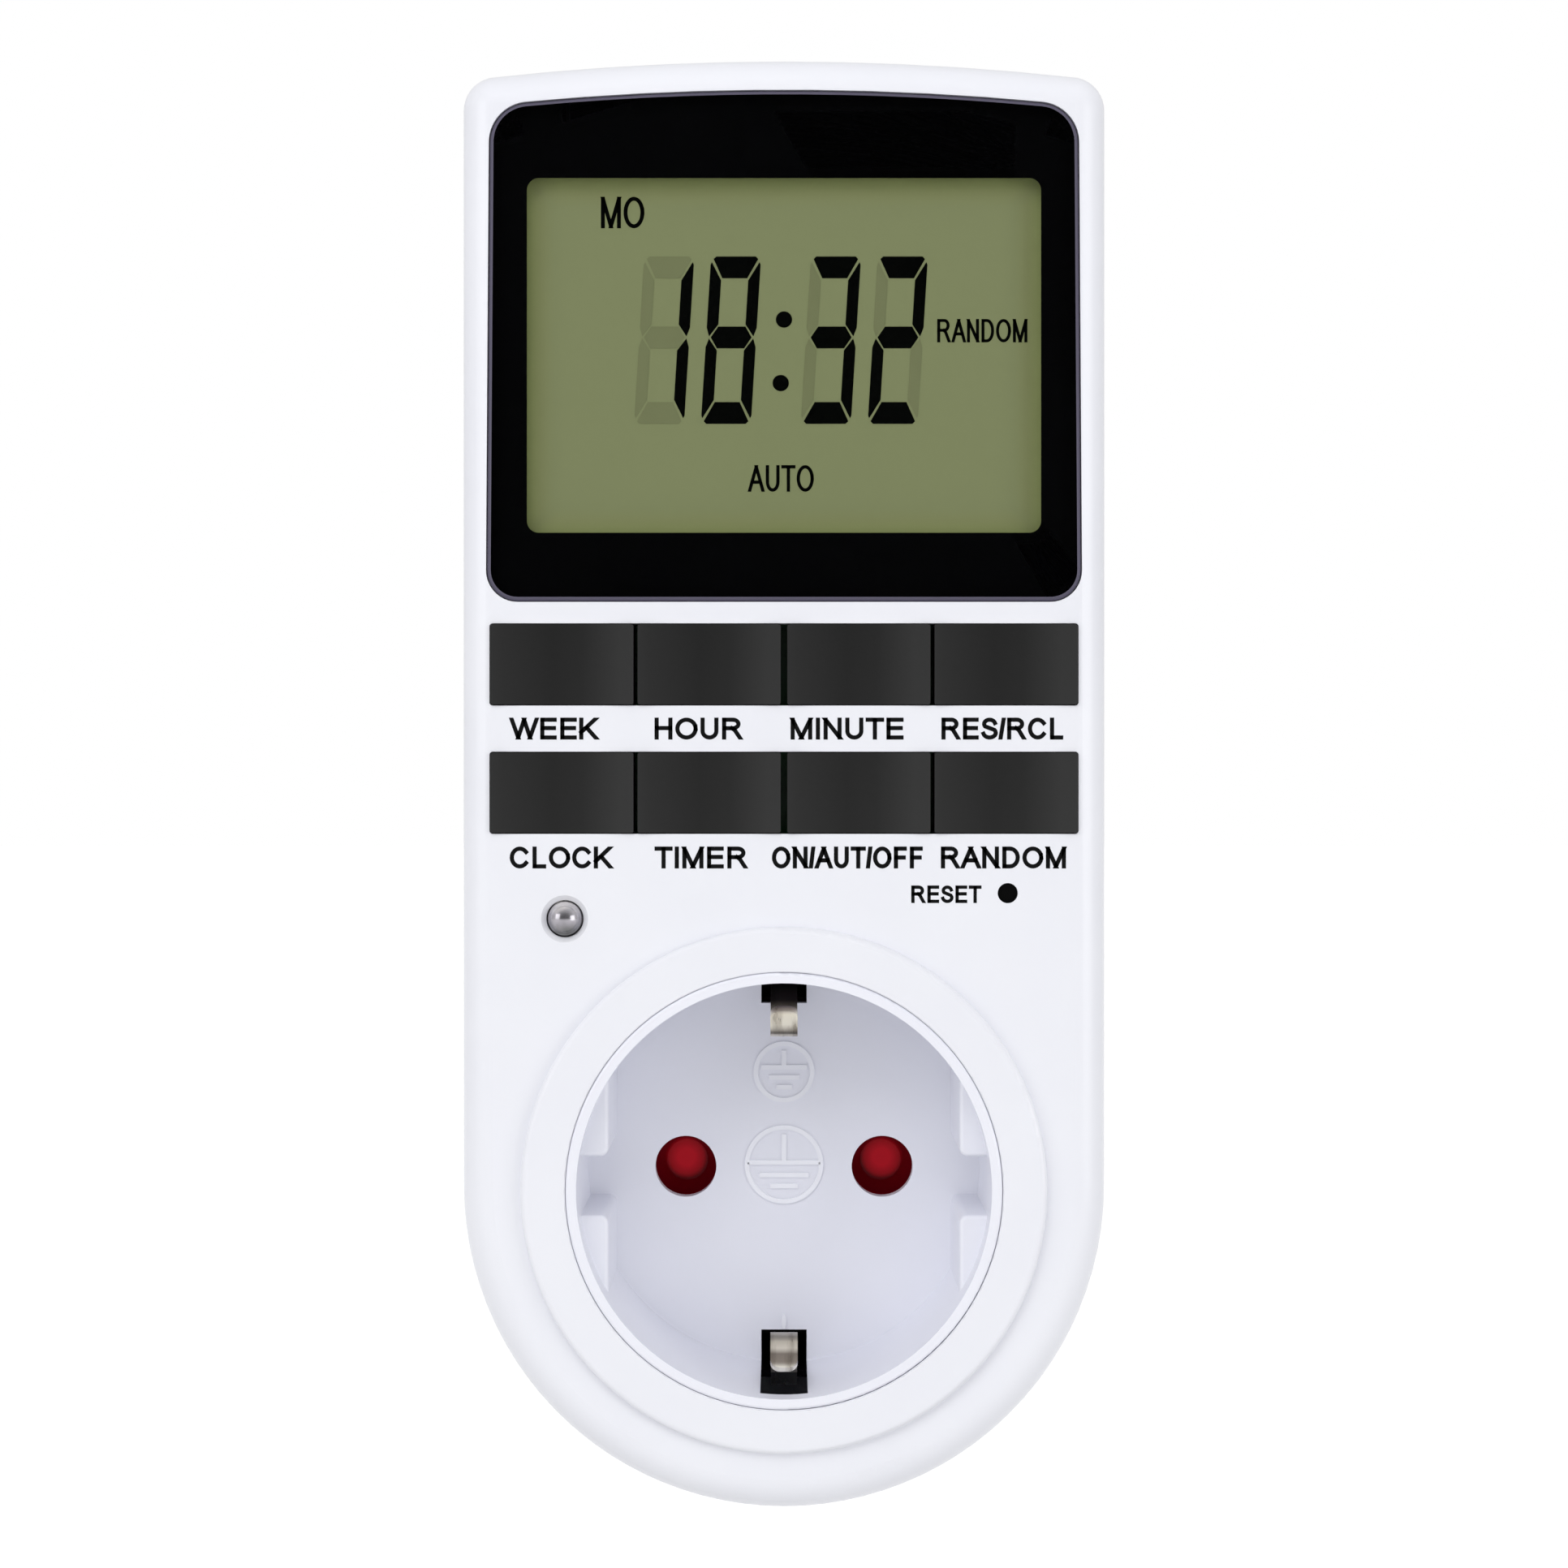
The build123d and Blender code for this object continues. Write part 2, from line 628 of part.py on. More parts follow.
def shutter_cover():
    """Plate screwed behind the shutter, with the pin holes carried through."""
    plate = rod(skirt_inner_radius - cover_clearance, 0, 0, cover_back_y, cover_front_y)
    plate -= rod(post_radius + post_clearance, 0, 0, cover_back_y, cover_front_y)
    slot = (earth_slot_width, earth_slot_inner, skirt_inner_radius)
    for side in (1, -1):
        plate -= rod(pin_hole_radius, side * pin_x, 0, cover_back_y, cover_front_y)
        plate -= radial_block(*slot, side, cover_back_y, cover_front_y)
    for boss in cover_boss_places():
        plate -= rod(board_screw_radius + head_clearance, *boss, cover_back_y, cover_front_y)
    return plate


def cover_screws():
    """Two pan-head screws through the cover into the well's bosses."""
    length = cover_thickness + cover_screw_hold
    sizes = (board_screw_head_radius, board_screw_head, board_screw_radius, length)
    return Compound(children=[screw(*boss, cover_back_y, *sizes) for boss in cover_boss_places()])


# ---------------------------------------------------------------- earth path
def earth_strap():
    """Strap across the back of the well, whose arms lean in through its slots as sprung clips."""
    arm_z = insert_radius + strap_gap + strap_thickness / 2
    base_y = strap_base_y - strap_thickness / 2
    root = (ring_y + clip_root_drop, arm_z)
    join = (root[0] + clip_join, arm_z)
    nose = (ring_y + clip_nose_drop, clip_nose_radius + strap_thickness / 2)
    tip = (ring_y + clip_tip_drop, clip_tip_z)
    clip = side_strip([join, root, nose, tip], clip_bend, strap_thickness, clip_width)
    ends = clip.edges().filter_by(lambda edge: abs(edge.length - strap_thickness) < fit_clearance)
    clip = fillet(ends.group_by(Axis.Y)[0], clip_tip_radius)
    arm = side_strip([join, (base_y, arm_z), (base_y, 0)], strap_bend, strap_thickness, strap_width)
    half = arm + clip
    strap = half + mirror(half, about=Plane.XY)
    return strap - rod(rivet_radius + fit_clearance, 0, 0, inner_back_y, floor_y)


def plug_earth_strip():
    """U-shaped strip behind the pin carrier, whose ends lie in the grooves in the plug's side."""
    base_y = carrier_back_y - earth_strip_thickness / 2
    side_z = earth_groove_floor() + fit_clearance + earth_strip_thickness / 2
    front = (-earth_strip_depth, side_z)
    corner = (base_y, side_z)
    points = [front, corner, (corner[0], -corner[1]), (front[0], -front[1])]
    strip = side_strip(points, earth_strip_thickness, earth_strip_thickness, earth_strip_width)
    return strip - rod(rivet_radius + fit_clearance, 0, 0, plug_inner_y, inner_back_y)


def earth_rivet():
    """Rivet with a spacer collar that ties the two earth strips together."""
    strip_front_y = carrier_back_y - earth_strip_thickness
    rivet = rod(rivet_radius, 0, 0, carrier_back_y, strap_base_y - strap_thickness)
    rivet += rod(rivet_radius + strap_thickness, 0, 0, strip_front_y, strap_base_y)
    rivet += rod(rivet_head_radius, 0, 0, carrier_back_y + rivet_head, carrier_back_y)
    base_front_y = strap_base_y - strap_thickness
    return rivet + rod(rivet_head_radius, 0, 0, base_front_y, base_front_y - rivet_head)


# ---------------------------------------------------------------- plug pins and live parts
def plug_pin(x):
    """Turned pin: round-nosed end, collar in the plug face, flange behind it and a thin shank."""
    pin = rod(pin_radius, x, 0, pin_length, -pin_collar_drop)
    pin = fillet(back_edges(pin), pin_tip_radius)
    pin += rod(pin_collar_radius, x, 0, -pin_collar_drop, plug_inner_y)
    pin += rod(pin_flange_radius, x, 0, plug_inner_y, plug_inner_y - pin_flange)
    return pin + rod(shank_radius, x, 0, plug_inner_y - pin_flange, -shank_end)


def pin_carrier():
    """Moulded block that clamps the pins' flanges against the inside of the plug face."""
    carrier = block(carrier_width, carrier_height, 0, 0, plug_inner_y, carrier_back_y)
    carrier = fillet(carrier.edges().filter_by(Axis.Y), carrier_corner_radius)
    flange_y = plug_inner_y - pin_flange - fit_clearance
    for x in (-pin_x, pin_x):
        carrier -= rod(pin_flange_radius + fit_clearance, x, 0, plug_inner_y, flange_y)
        carrier -= rod(shank_radius + fit_clearance, x, 0, flange_y, carrier_back_y)
    head_y = carrier_back_y + rivet_head + fit_clearance
    return carrier - rod(rivet_head_radius + fit_clearance, 0, 0, head_y, carrier_back_y)


def grip(side):
    """Spring contact round a pin's path: a web on the outer side and two bowed leaves."""
    x = side * pin_x
    half_height = contact_grip + contact_thickness / 2
    lip = half_height + contact_thickness
    points = [
        (x - side * contact_reach, lip),
        (x, half_height),
        (x + side * contact_web, lip),
        (x + side * contact_web, -lip),
        (x, -half_height),
        (x - side * contact_reach, -lip),
    ]
    front = cover_back_y + contact_gap
    profile = trace(FilletPolyline(*points, radius=contact_thickness), contact_thickness)
    return slab(profile, front + contact_depth, front)


def contact_tail(side, back):
    """Flat tail that runs back from a contact's web to the depth back."""
    front = cover_back_y + contact_gap + contact_depth
    return block(contact_thickness, contact_height, side * (pin_x + contact_web), 0, back, front)


def terminal(x, height, centre_z):
    """Plate on a pin's shank, with its hole."""
    front = -terminal_depth - contact_thickness
    width = 2 * shank_radius + 2 * contact_thickness
    plate = block(width, height, x, centre_z, -terminal_depth, front)
    return plate - rod(shank_radius + fit_clearance, x, 0, -terminal_depth, front)


def neutral_contact():
    """Contact that runs back to the neutral pin's shank as one strip."""
    x = pin_x + contact_web / 2 + contact_thickness / 4
    front = -terminal_depth - contact_thickness
    foot = block(contact_web + contact_thickness / 2, contact_height, x, 0, -terminal_depth, front)
    foot += terminal(pin_x, terminal_height, 0)
    foot -= rod(shank_radius + fit_clearance, pin_x, 0, -terminal_depth, front)
    return grip(1) + contact_tail(1, -terminal_depth) + foot


def live_contact():
    """Contact whose tail ends in a solder tab, fed from the relay."""
    return grip(-1) + contact_tail(-1, cover_back_y + contact_gap + contact_depth + live_tab_length)


def lead(*points):
    """An insulated wire through the given points, each corner bent to the same radius."""
    path = FilletPolyline(*points, radius=lead_bend)
    section = Plane(origin=path @ 0, z_dir=path % 0) * Circle(lead_radius)
    return sweep(section, path=path)


def lead_route(x, start_y, start_z):
    """Points from a solder tab up to the lower edge of the power board."""
    run_y = (insert_back_y + power_front_y) / 2
    bend_z = start_z + lead_rise
    landing_z = power_board_bottom + lead_landing
    foot = [(x, start_y, start_z), (x, start_y, bend_z)]
    return [*foot, (x, run_y, bend_z + lead_run), (x, run_y, landing_z), (x, power_front_y, landing_z)]


def live_lead():
    """Two live wires, one from the pin's terminal plate and one from the live contact."""
    tab_y = cover_back_y + contact_gap + contact_depth + lead_joint
    side_x = -(pin_x + contact_web)
    plate_front = -terminal_depth - contact_thickness
    plate = terminal(-pin_x, live_plate_height, (live_plate_height - terminal_height) / 2)
    pin_wire = lead(*lead_route(-pin_x + live_wire_shift, plate_front, live_wire_height))
    contact_wire = lead(*lead_route(side_x, tab_y, contact_height / 2 + lead_radius))
    return Compound(children=[plate, pin_wire, contact_wire])


def neutral_lead():
    """Wire from the neutral contact's tail to the power board."""
    tab_y = cover_back_y + contact_gap + contact_depth + lead_joint
    return lead(*lead_route(pin_x + contact_web, tab_y, contact_height / 2 + lead_radius))


# ---------------------------------------------------------------- display
def display_lens():
    """Clear window with a bevelled rim, standing a hair proud of the case."""
    back = face_y + lens_pocket - mask_thickness
    lens = slab(lens_outline(), back, face_y - lens_proud)
    return chamfer(front_edges(lens), lens_bevel)


def lens_mask():
    """Thin black border behind the window."""
    back = face_y + lens_pocket
    return slab(lens_outline() - view_window(), back, back - mask_thickness)


def plate_between(width, bottom, top, back, front):
    """A plate centred across X between two heights."""
    return block(width, top - bottom, 0, (top + bottom) / 2, back, front)


def lcd_panel():
    """Two glass plates, the front one longer so that its contacts are free at the bottom."""
    front = plate_between(lcd_width, lcd_bottom - lcd_ledge, lcd_top, lcd_ledge_y, lcd_front_y)
    return front + plate_between(lcd_width, lcd_bottom, lcd_top, lcd_back_y, lcd_ledge_y)


def lcd_reflector():
    """Foil-faced sheet behind the glass."""
    return plate_between(lcd_width, lcd_bottom, lcd_top, reflector_back_y, lcd_back_y)


def zebra_bottom():
    """Lower edge of the rubber contact strip."""
    return lcd_bottom - lcd_ledge + (lcd_ledge - zebra_width) / 2


def zebra_strip():
    """Striped rubber that joins the glass to the board."""
    bottom = zebra_bottom()
    return plate_between(zebra_length, bottom, bottom + zebra_width, board_front_y, lcd_ledge_y)


def lcd_holder():
    """Frame that carries the glass on the board, with a ledge behind the reflector."""
    inner = lcd_width + 2 * holder_clearance
    bottom = lcd_bottom - lcd_ledge - holder_clearance
    top = lcd_top + holder_clearance
    outer = (inner + 2 * holder_wall, bottom - holder_wall, top + holder_wall)
    frame = plate_between(*outer, board_front_y, lcd_front_y)
    frame -= plate_between(inner, bottom, top, reflector_back_y, lcd_front_y)
    heights = (lcd_bottom + holder_bottom_ledge, lcd_top - holder_top_ledge)
    frame -= plate_between(inner - 2 * holder_side_ledge, *heights, board_front_y, reflector_back_y)
    slot = (zebra_bottom() - holder_clearance, zebra_bottom() + zebra_width + holder_clearance)
    slot_length = zebra_length + 2 * holder_clearance
    return frame - plate_between(slot_length, *slot, board_front_y, reflector_back_y)


# ---------------------------------------------------------------- keys and switches
def key_centres():
    """Each key's name with its X and Z, row by row."""
    first = -key_window_width / 2 + key_clearance + key_width / 2
    offsets = (0, key_width + key_gap)
    half = 2 * key_width + key_gap + key_middle_gap
    columns = [first + block_x + x for block_x in (0, half) for x in offsets]
    for names, z in zip(key_names, key_row_heights):
        for name, x in zip(names, columns):
            yield name, x, z


def key(x, z):
    """Hollow cap, dished from side to side, with stop flanges and a post for its switch."""
    cap = block(key_width, key_height, x, z, flange_back_y, key_front_y)
    cap = fillet(cap.edges().filter_by(Axis.Y), key_edge)
    radius = (key_width**2 / 4 + key_dish**2) / (2 * key_dish)
    dish = Cylinder(radius, 2 * key_height)
    cap -= Pos(x, key_front_y + key_dish - radius, z) * dish
    cap += block(key_width, key_height + 2 * key_flange_reach, x, z, flange_back_y, flange_front_y)
    room_y = key_front_y + key_dish + key_wall
    cap -= block(key_width - 2 * key_wall, key_height - 2 * key_wall, x, z, flange_back_y, room_y)
    return cap + rod(key_post_radius, x, z, flange_back_y, room_y)


def plunger(x, z):
    """The moving button of one switch."""
    return rod(plunger_radius, x, z, flange_back_y + plunger_length, flange_back_y)


def switch_housing(x, z):
    """Square switch housing with a round well for its plunger."""
    body = block(switch_size, switch_size, x, z, board_front_y, switch_front_y)
    well_y = flange_back_y + plunger_length + key_travel + key_stop_gap
    return body - rod(plunger_radius + fit_clearance, x, z, well_y, switch_front_y)


def key_switches():
    """The eight switch housings behind the keys."""
    return Compound(children=[switch_housing(x, z) for _, x, z in key_centres()])


def reset_button():
    """Thin plunger that stands inside the pinhole, with a stop flange behind the wall."""
    tip = rod(reset_hole_radius - reset_clearance, reset_x, reset_z, flange_front_y, face_y + reset_sink)
    return tip + rod(reset_flange_radius, reset_x, reset_z, flange_back_y, flange_front_y)


def indicator_led():
    """Domed lamp in its hole, with a flange and two leads down to the board."""
    tip_y = face_y - led_proud
    base_y = tip_y + led_length
    dome_y = tip_y + led_radius
    lamp = rod(led_radius, led_x, led_z, base_y, dome_y)
    lamp += Pos(led_x, dome_y, led_z) * Sphere(led_radius)
    lamp += rod(led_flange_radius, led_x, led_z, base_y, base_y - led_flange)
    for side in (-1, 1):
        lamp += rod(led_lead_radius, led_x + side * led_lead_pitch, led_z, board_front_y, base_y)
    return lamp


# ---------------------------------------------------------------- boards
def control_board():
    """Board behind the display and the keys, cut round the well and the case screws."""
    face = outline(side_wall + board_clearance)
    face &= Pos(0, control_board_bottom + body_top) * Rectangle(2 * body_width, 2 * body_top)
    face -= Circle(insert_flange_radius + control_board_gap)
    for x, z in case_screws_at:
        face -= Pos(x, z) * Circle(case_boss_radius + board_clearance)
    for x, z in control_screws:
        face -= Pos(x, z) * Circle(board_screw_radius + head_clearance)
    return slab(face, board_back_y, board_front_y)


def power_board():
    """Mains board on the rear shell's bosses."""
    height = power_board_top - power_board_bottom
    centre = (power_board_top + power_board_bottom) / 2
    face = Pos(0, centre) * RectangleRounded(power_board_width, height, board_corner_radius)
    for x, z in power_screws:
        face -= Pos(x, z) * Circle(board_screw_radius + head_clearance)
    return slab(face, power_back_y, power_front_y)


def board_screws():
    """Four screws behind the control board and four in front of the power board."""
    head = (board_screw_head_radius, board_screw_head, board_screw_radius)
    control = [screw(x, z, board_back_y, *head, board_screw_length) for x, z in control_screws]
    power = [screw(x, z, power_front_y, *head, power_screw_length, 1) for x, z in power_screws]
    return Compound(children=control + power)


def case_screws():
    """Four long screws from the back into the front shell's bosses."""
    seat_y = back_y - case_screw_depth
    sizes = (case_screw_head_radius, case_screw_head, case_screw_radius, case_screw_length)
    return Compound(children=[screw(x, z, seat_y, *sizes) for x, z in case_screws_at])


def on_power_board(size, place):
    """A boxed component standing on the power board's front."""
    width, height, tall = size
    body = block(width, height, *place, power_front_y, power_front_y - tall)
    return fillet(body.edges().filter_by(Axis.Y), component_corner_radius)


def reservoir_capacitors():
    """Two electrolytic cans standing on the power board."""
    cans = []
    for radius, tall, place in zip(reservoir_radii, reservoir_heights, reservoir_at):
        can = rod(radius, *place, power_front_y, power_front_y - tall)
        cans.append(fillet(front_edges(can), reservoir_rim_radius))
    return Compound(children=cans)


def lying_on_power_board(radius, length, x, z):
    """A round component on the power board, with its axis along X."""
    return Pos(x, power_front_y - radius, z) * Rot(0, 90, 0) * Cylinder(radius, length)


def diodes():
    """Rectifier diodes side by side."""
    x, z = diode_at
    rows = [z + diode_pitch * i for i in range(diode_count)]
    return Compound(children=[lying_on_power_board(diode_radius, diode_length, x, row) for row in rows])


def on_control_board(face, place, tall):
    """A component on the control board's back, from its front-view face."""
    return slab(Pos(*place) * face, board_back_y + tall, board_back_y)


def controller_chip():
    """The processor's flat package."""
    package = on_control_board(Rectangle(chip_width, chip_width), chip_at, chip_height)
    return chamfer(back_edges(package), chip_edge)


def backup_battery():
    """Button cell that keeps the clock running, soldered flat on the board."""
    cell = on_control_board(Circle(battery_radius), battery_at, battery_height)
    return fillet(back_edges(cell), battery_edge_radius)


def ribbon_cable():
    """Flat cable between the two boards."""
    points = [
        (board_back_y, ribbon_front_z),
        (board_back_y + ribbon_stand, ribbon_front_z),
        (power_front_y - ribbon_stand, ribbon_back_z),
        (power_front_y, ribbon_back_z),
    ]
    return Pos(ribbon_x, 0, 0) * side_strip(points, ribbon_bend, ribbon_thickness, ribbon_width)


# ---------------------------------------------------------------- output
pieces = {
    "front_shell": front_shell(),
    "rear_shell": rear_shell(),
    "socket_insert": socket_insert(),
    "well_guides": well_guides(),
    "shutter": shutter(),
    "shutter_spring": shutter_spring(),
    "shutter_cover": shutter_cover(),
    "cover_screws": cover_screws(),
    "earth_strap": earth_strap(),
    "plug_earth_strip": plug_earth_strip(),
    "earth_rivet": earth_rivet(),
    "live_pin": plug_pin(-pin_x),
    "neutral_pin": plug_pin(pin_x),
    "pin_carrier": pin_carrier(),
    "live_contact": live_contact(),
    "neutral_contact": neutral_contact(),
    "live_lead": live_lead(),
    "neutral_lead": neutral_lead(),
    "display_lens": display_lens(),
    "lens_mask": lens_mask(),
    "lcd_panel": lcd_panel(),
    "lcd_reflector": lcd_reflector(),
    "lcd_holder": lcd_holder(),
    "zebra_strip": zebra_strip(),
    "key_switches": key_switches(),
    "reset_button": reset_button(),
    "reset_switch": switch_housing(reset_x, reset_z),
    "reset_plunger": plunger(reset_x, reset_z),
    "indicator_led": indicator_led(),
    "control_board": control_board(),
    "controller_chip": controller_chip(),
    "crystal": on_control_board(SlotOverall(crystal_length, crystal_width), crystal_at, crystal_height),
    "backup_battery": backup_battery(),
    "ribbon_cable": ribbon_cable(),
    "power_board": power_board(),
    "relay": on_power_board(relay_size, relay_at),
    "film_capacitor": on_power_board(film_capacitor_size, film_capacitor_at),
    "reservoir_capacitors": reservoir_capacitors(),
    "varistor": lying_on_power_board(varistor_radius, varistor_thickness, *varistor_at),
    "diodes": diodes(),
    "fuse_resistor": lying_on_power_board(fuse_resistor_radius, fuse_resistor_length, *fuse_resistor_at),
    "board_screws": board_screws(),
    "case_screws": case_screws(),
}
for name, x, z in key_centres():
    pieces[f"{name}_key"] = key(x, z)
    pieces[f"{name}_plunger"] = plunger(x, z)

os.makedirs("parts", exist_ok=True)
for name, shape in pieces.items():
    export_step(shape, f"parts/{name}.step")
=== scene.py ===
import json
from math import cos, pi, radians, sin, tan

import bmesh
import bpy
from mathutils import Matrix, Vector


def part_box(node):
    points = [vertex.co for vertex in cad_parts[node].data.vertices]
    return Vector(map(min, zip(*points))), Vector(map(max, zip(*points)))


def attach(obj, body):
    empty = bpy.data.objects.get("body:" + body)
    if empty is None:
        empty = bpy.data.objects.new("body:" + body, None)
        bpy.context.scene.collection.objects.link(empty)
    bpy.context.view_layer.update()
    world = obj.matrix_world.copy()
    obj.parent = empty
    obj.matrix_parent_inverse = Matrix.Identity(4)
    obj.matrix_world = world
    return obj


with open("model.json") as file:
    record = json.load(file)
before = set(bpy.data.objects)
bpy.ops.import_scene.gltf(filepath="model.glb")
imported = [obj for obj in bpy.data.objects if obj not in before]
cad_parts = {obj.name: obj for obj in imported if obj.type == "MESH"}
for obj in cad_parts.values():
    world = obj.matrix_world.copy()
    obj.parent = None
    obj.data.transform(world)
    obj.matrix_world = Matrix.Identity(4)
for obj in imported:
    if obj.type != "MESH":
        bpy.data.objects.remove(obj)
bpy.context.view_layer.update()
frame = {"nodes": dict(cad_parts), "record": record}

# Plug in timer switch. The frame holds its shells, keys, pins and boards. This script gives them their
# finishes, and adds the printed legends, the display's segments and words, and the marks in the well.

MM = 0.001
HOUSING = "housing"
WELL_DEPTH = 17.5 * MM
LENS_PROUD = 0.1 * MM  # how far the lens stands out of the case's face

# ---------------------------------------------------------------- stations read from the frame
face_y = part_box("display_lens")[0].y + LENS_PROUD  # front face of the case
ring_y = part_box("front_shell")[0].y  # front of the collar round the socket
glass_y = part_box("lcd_panel")[0].y  # front of the display glass
floor_y = ring_y + WELL_DEPTH  # floor of the socket well


# ---------------------------------------------------------------- materials
def linear(hex_colour):
    """The linear colour of an sRGB hex value."""
    channels = [int(hex_colour[i : i + 2], 16) / 255 for i in (1, 3, 5)]
    return (*[c / 12.92 if c <= 0.04045 else ((c + 0.055) / 1.055) ** 2.4 for c in channels], 1.0)


def add(tree, kind, settings=None, links=None, stops=()):
    """Adds one node, sets its sockets or properties, and links sockets to other nodes.

    A link's source is an output, or a node for its first output. stops are a colour ramp's, each a place and
    a hex colour."""
    node = tree.nodes.new(kind)
    for name, value in (settings or {}).items():
        if isinstance(name, int) or name in node.inputs:
            node.inputs[name].default_value = value
        else:
            setattr(node, name, value)
    for name, source in (links or {}).items():
        output = source.outputs[0] if isinstance(source, bpy.types.Node) else source
        tree.links.new(output, node.inputs[name])
    if stops:
        elements = node.color_ramp.elements
        elements[0].position, elements[1].position = stops[0][0], stops[-1][0]
        for place, _ in stops[1:-1]:
            elements.new(place)
        for element, (_, colour) in zip(elements, stops):
            element.color = linear(colour)
    return node


def new_material(name):
    """An empty node material and its tree."""
    material = bpy.data.materials.new(name)
    material.use_nodes = True
    material.node_tree.nodes.clear()
    return material, material.node_tree


def object_axes(tree):
    """The separate coordinates of the assembly's frame."""
    place = add(tree, "ShaderNodeTexCoord").outputs["Object"]
    return add(tree, "ShaderNodeSeparateXYZ", {}, {"Vector": place}).outputs


DRIFT = 12 * MM  # size of the clouds in which a moulding's tone drifts
DRIFT_LOW, DRIFT_HIGH = 0.2, 0.8  # range of a cloud noise


def moulded(name, colours, roughness, grain=0.4, relief=0.01, metallic=0.0, spread=0.05, shine=0.5):
    """A surface with a fine grain: two colours that drift over it, and roughness that varies with them.

    grain is the spots' size and relief their height, both in millimetres."""
    material, tree = new_material(name)
    place = add(tree, "ShaderNodeTexCoord").outputs["Object"]
    clouds = add(tree, "ShaderNodeTexNoise", {"Scale": 1 / DRIFT, "Detail": 3.0}, {"Vector": place})
    spots = add(tree, "ShaderNodeTexNoise", {"Scale": 1 / (grain * MM), "Detail": 2.0}, {"Vector": place})
    tones = ((DRIFT_LOW, colours[0]), (DRIFT_HIGH, colours[1]))
    tone = add(tree, "ShaderNodeValToRGB", {}, {"Fac": clouds}, tones)
    limits = {"From Min": DRIFT_LOW, "From Max": DRIFT_HIGH}
    limits |= {"To Min": roughness - spread, "To Max": roughness + spread}
    gloss = add(tree, "ShaderNodeMapRange", limits, {"Value": clouds})
    bump = add(tree, "ShaderNodeBump", {"Strength": 1.0, "Distance": relief * MM}, {"Height": spots})
    finish = {"Metallic": metallic, "Specular IOR Level": shine}
    look = {"Base Color": tone, "Roughness": gloss, "Normal": bump}
    shader = add(tree, "ShaderNodeBsdfPrincipled", finish, look)
    add(tree, "ShaderNodeOutputMaterial", {}, {"Surface": shader})
    return material


FACE_TURN = {"From Min": 0.9, "From Max": 0.95}  # how squarely a face of the window meets the depth


def clear_acrylic():
    """Moulded acrylic window: clear across its face. Its bevelled rim is painted an opaque purple-grey, a
    painted reflection of the ink and highlights a clear bevel shows.
    """
    material, tree = new_material("clear_acrylic")
    through = add(tree, "ShaderNodeBsdfTransparent", {"Color": linear("#FCFDFD")})
    mirror = add(tree, "ShaderNodeBsdfGlossy", {"Roughness": 0.03})
    edge_on = add(tree, "ShaderNodeFresnel", {"IOR": 1.3})
    inside = add(tree, "ShaderNodeNewGeometry").outputs["Backfacing"]
    outside = add(tree, "ShaderNodeMath", {"operation": "SUBTRACT", 0: 1.0}, {1: inside})
    share = add(tree, "ShaderNodeMath", {"operation": "MULTIPLY"}, {0: edge_on, 1: outside})
    pane = add(tree, "ShaderNodeMixShader", {}, {0: share, 1: through, 2: mirror})
    # painted reflection: faces that don't face the depth get an opaque purple-grey in place of what the bevel
    # reflects
    painted_rim_finish = {"Base Color": linear("#5E5A6C"), "Roughness": 0.45, "Specular IOR Level": 0.3}
    painted_rim = add(tree, "ShaderNodeBsdfPrincipled", painted_rim_finish)
    normal = add(tree, "ShaderNodeNewGeometry").outputs["True Normal"]
    axes = add(tree, "ShaderNodeSeparateXYZ", {}, {"Vector": normal}).outputs
    square_on = add(tree, "ShaderNodeMath", {"operation": "ABSOLUTE"}, {0: axes["Y"]})
    on_face = add(tree, "ShaderNodeMapRange", FACE_TURN, {"Value": square_on})
    both = add(tree, "ShaderNodeMixShader", {}, {0: on_face, 1: painted_rim, 2: pane})
    add(tree, "ShaderNodeOutputMaterial", {}, {"Surface": both})
    return material


DIMPLE_AT = (9.6 * MM, 0.0, 0.25 * MM)  # middle of the painted light on a dimple's floor
DIMPLE_REACH = 4.2 * MM  # how far out its painted light and shade go
DIMPLE_PAINTED_LIGHT_AND_SHADE = ((0.2, "#C01426"), (0.4, "#9A0C1A"), (0.5, "#540209"), (0.75, "#3A0005"), (1.0, "#A80C1C"))


def red_polycarbonate():
    """Deep red plastic with painted light and shade in each dimple: a bright floor that glows by emission,
    fading into a painted shadow on its wall.
    """
    material, tree = new_material("red_polycarbonate")
    axes = object_axes(tree)
    side = add(tree, "ShaderNodeMath", {"operation": "ABSOLUTE"}, {0: axes["X"]})
    flat = add(tree, "ShaderNodeCombineXYZ", {}, {"X": side, "Z": axes["Z"]})
    away = add(tree, "ShaderNodeVectorMath", {"operation": "DISTANCE", 1: DIMPLE_AT}, {0: flat})
    step = {"From Max": DIMPLE_REACH}
    outwards = add(tree, "ShaderNodeMapRange", step, {"Value": away.outputs["Value"]})
    tone = add(tree, "ShaderNodeValToRGB", {}, {"Fac": outwards}, DIMPLE_PAINTED_LIGHT_AND_SHADE)
    # the emission is a painted glow on the dimples' painted tones
    finish = {"Roughness": 0.3, "Specular IOR Level": 0.08, "Emission Strength": 0.3}
    shader = add(tree, "ShaderNodeBsdfPrincipled", finish, {"Base Color": tone, "Emission Color": tone})
    add(tree, "ShaderNodeOutputMaterial", {}, {"Surface": shader})
    return material


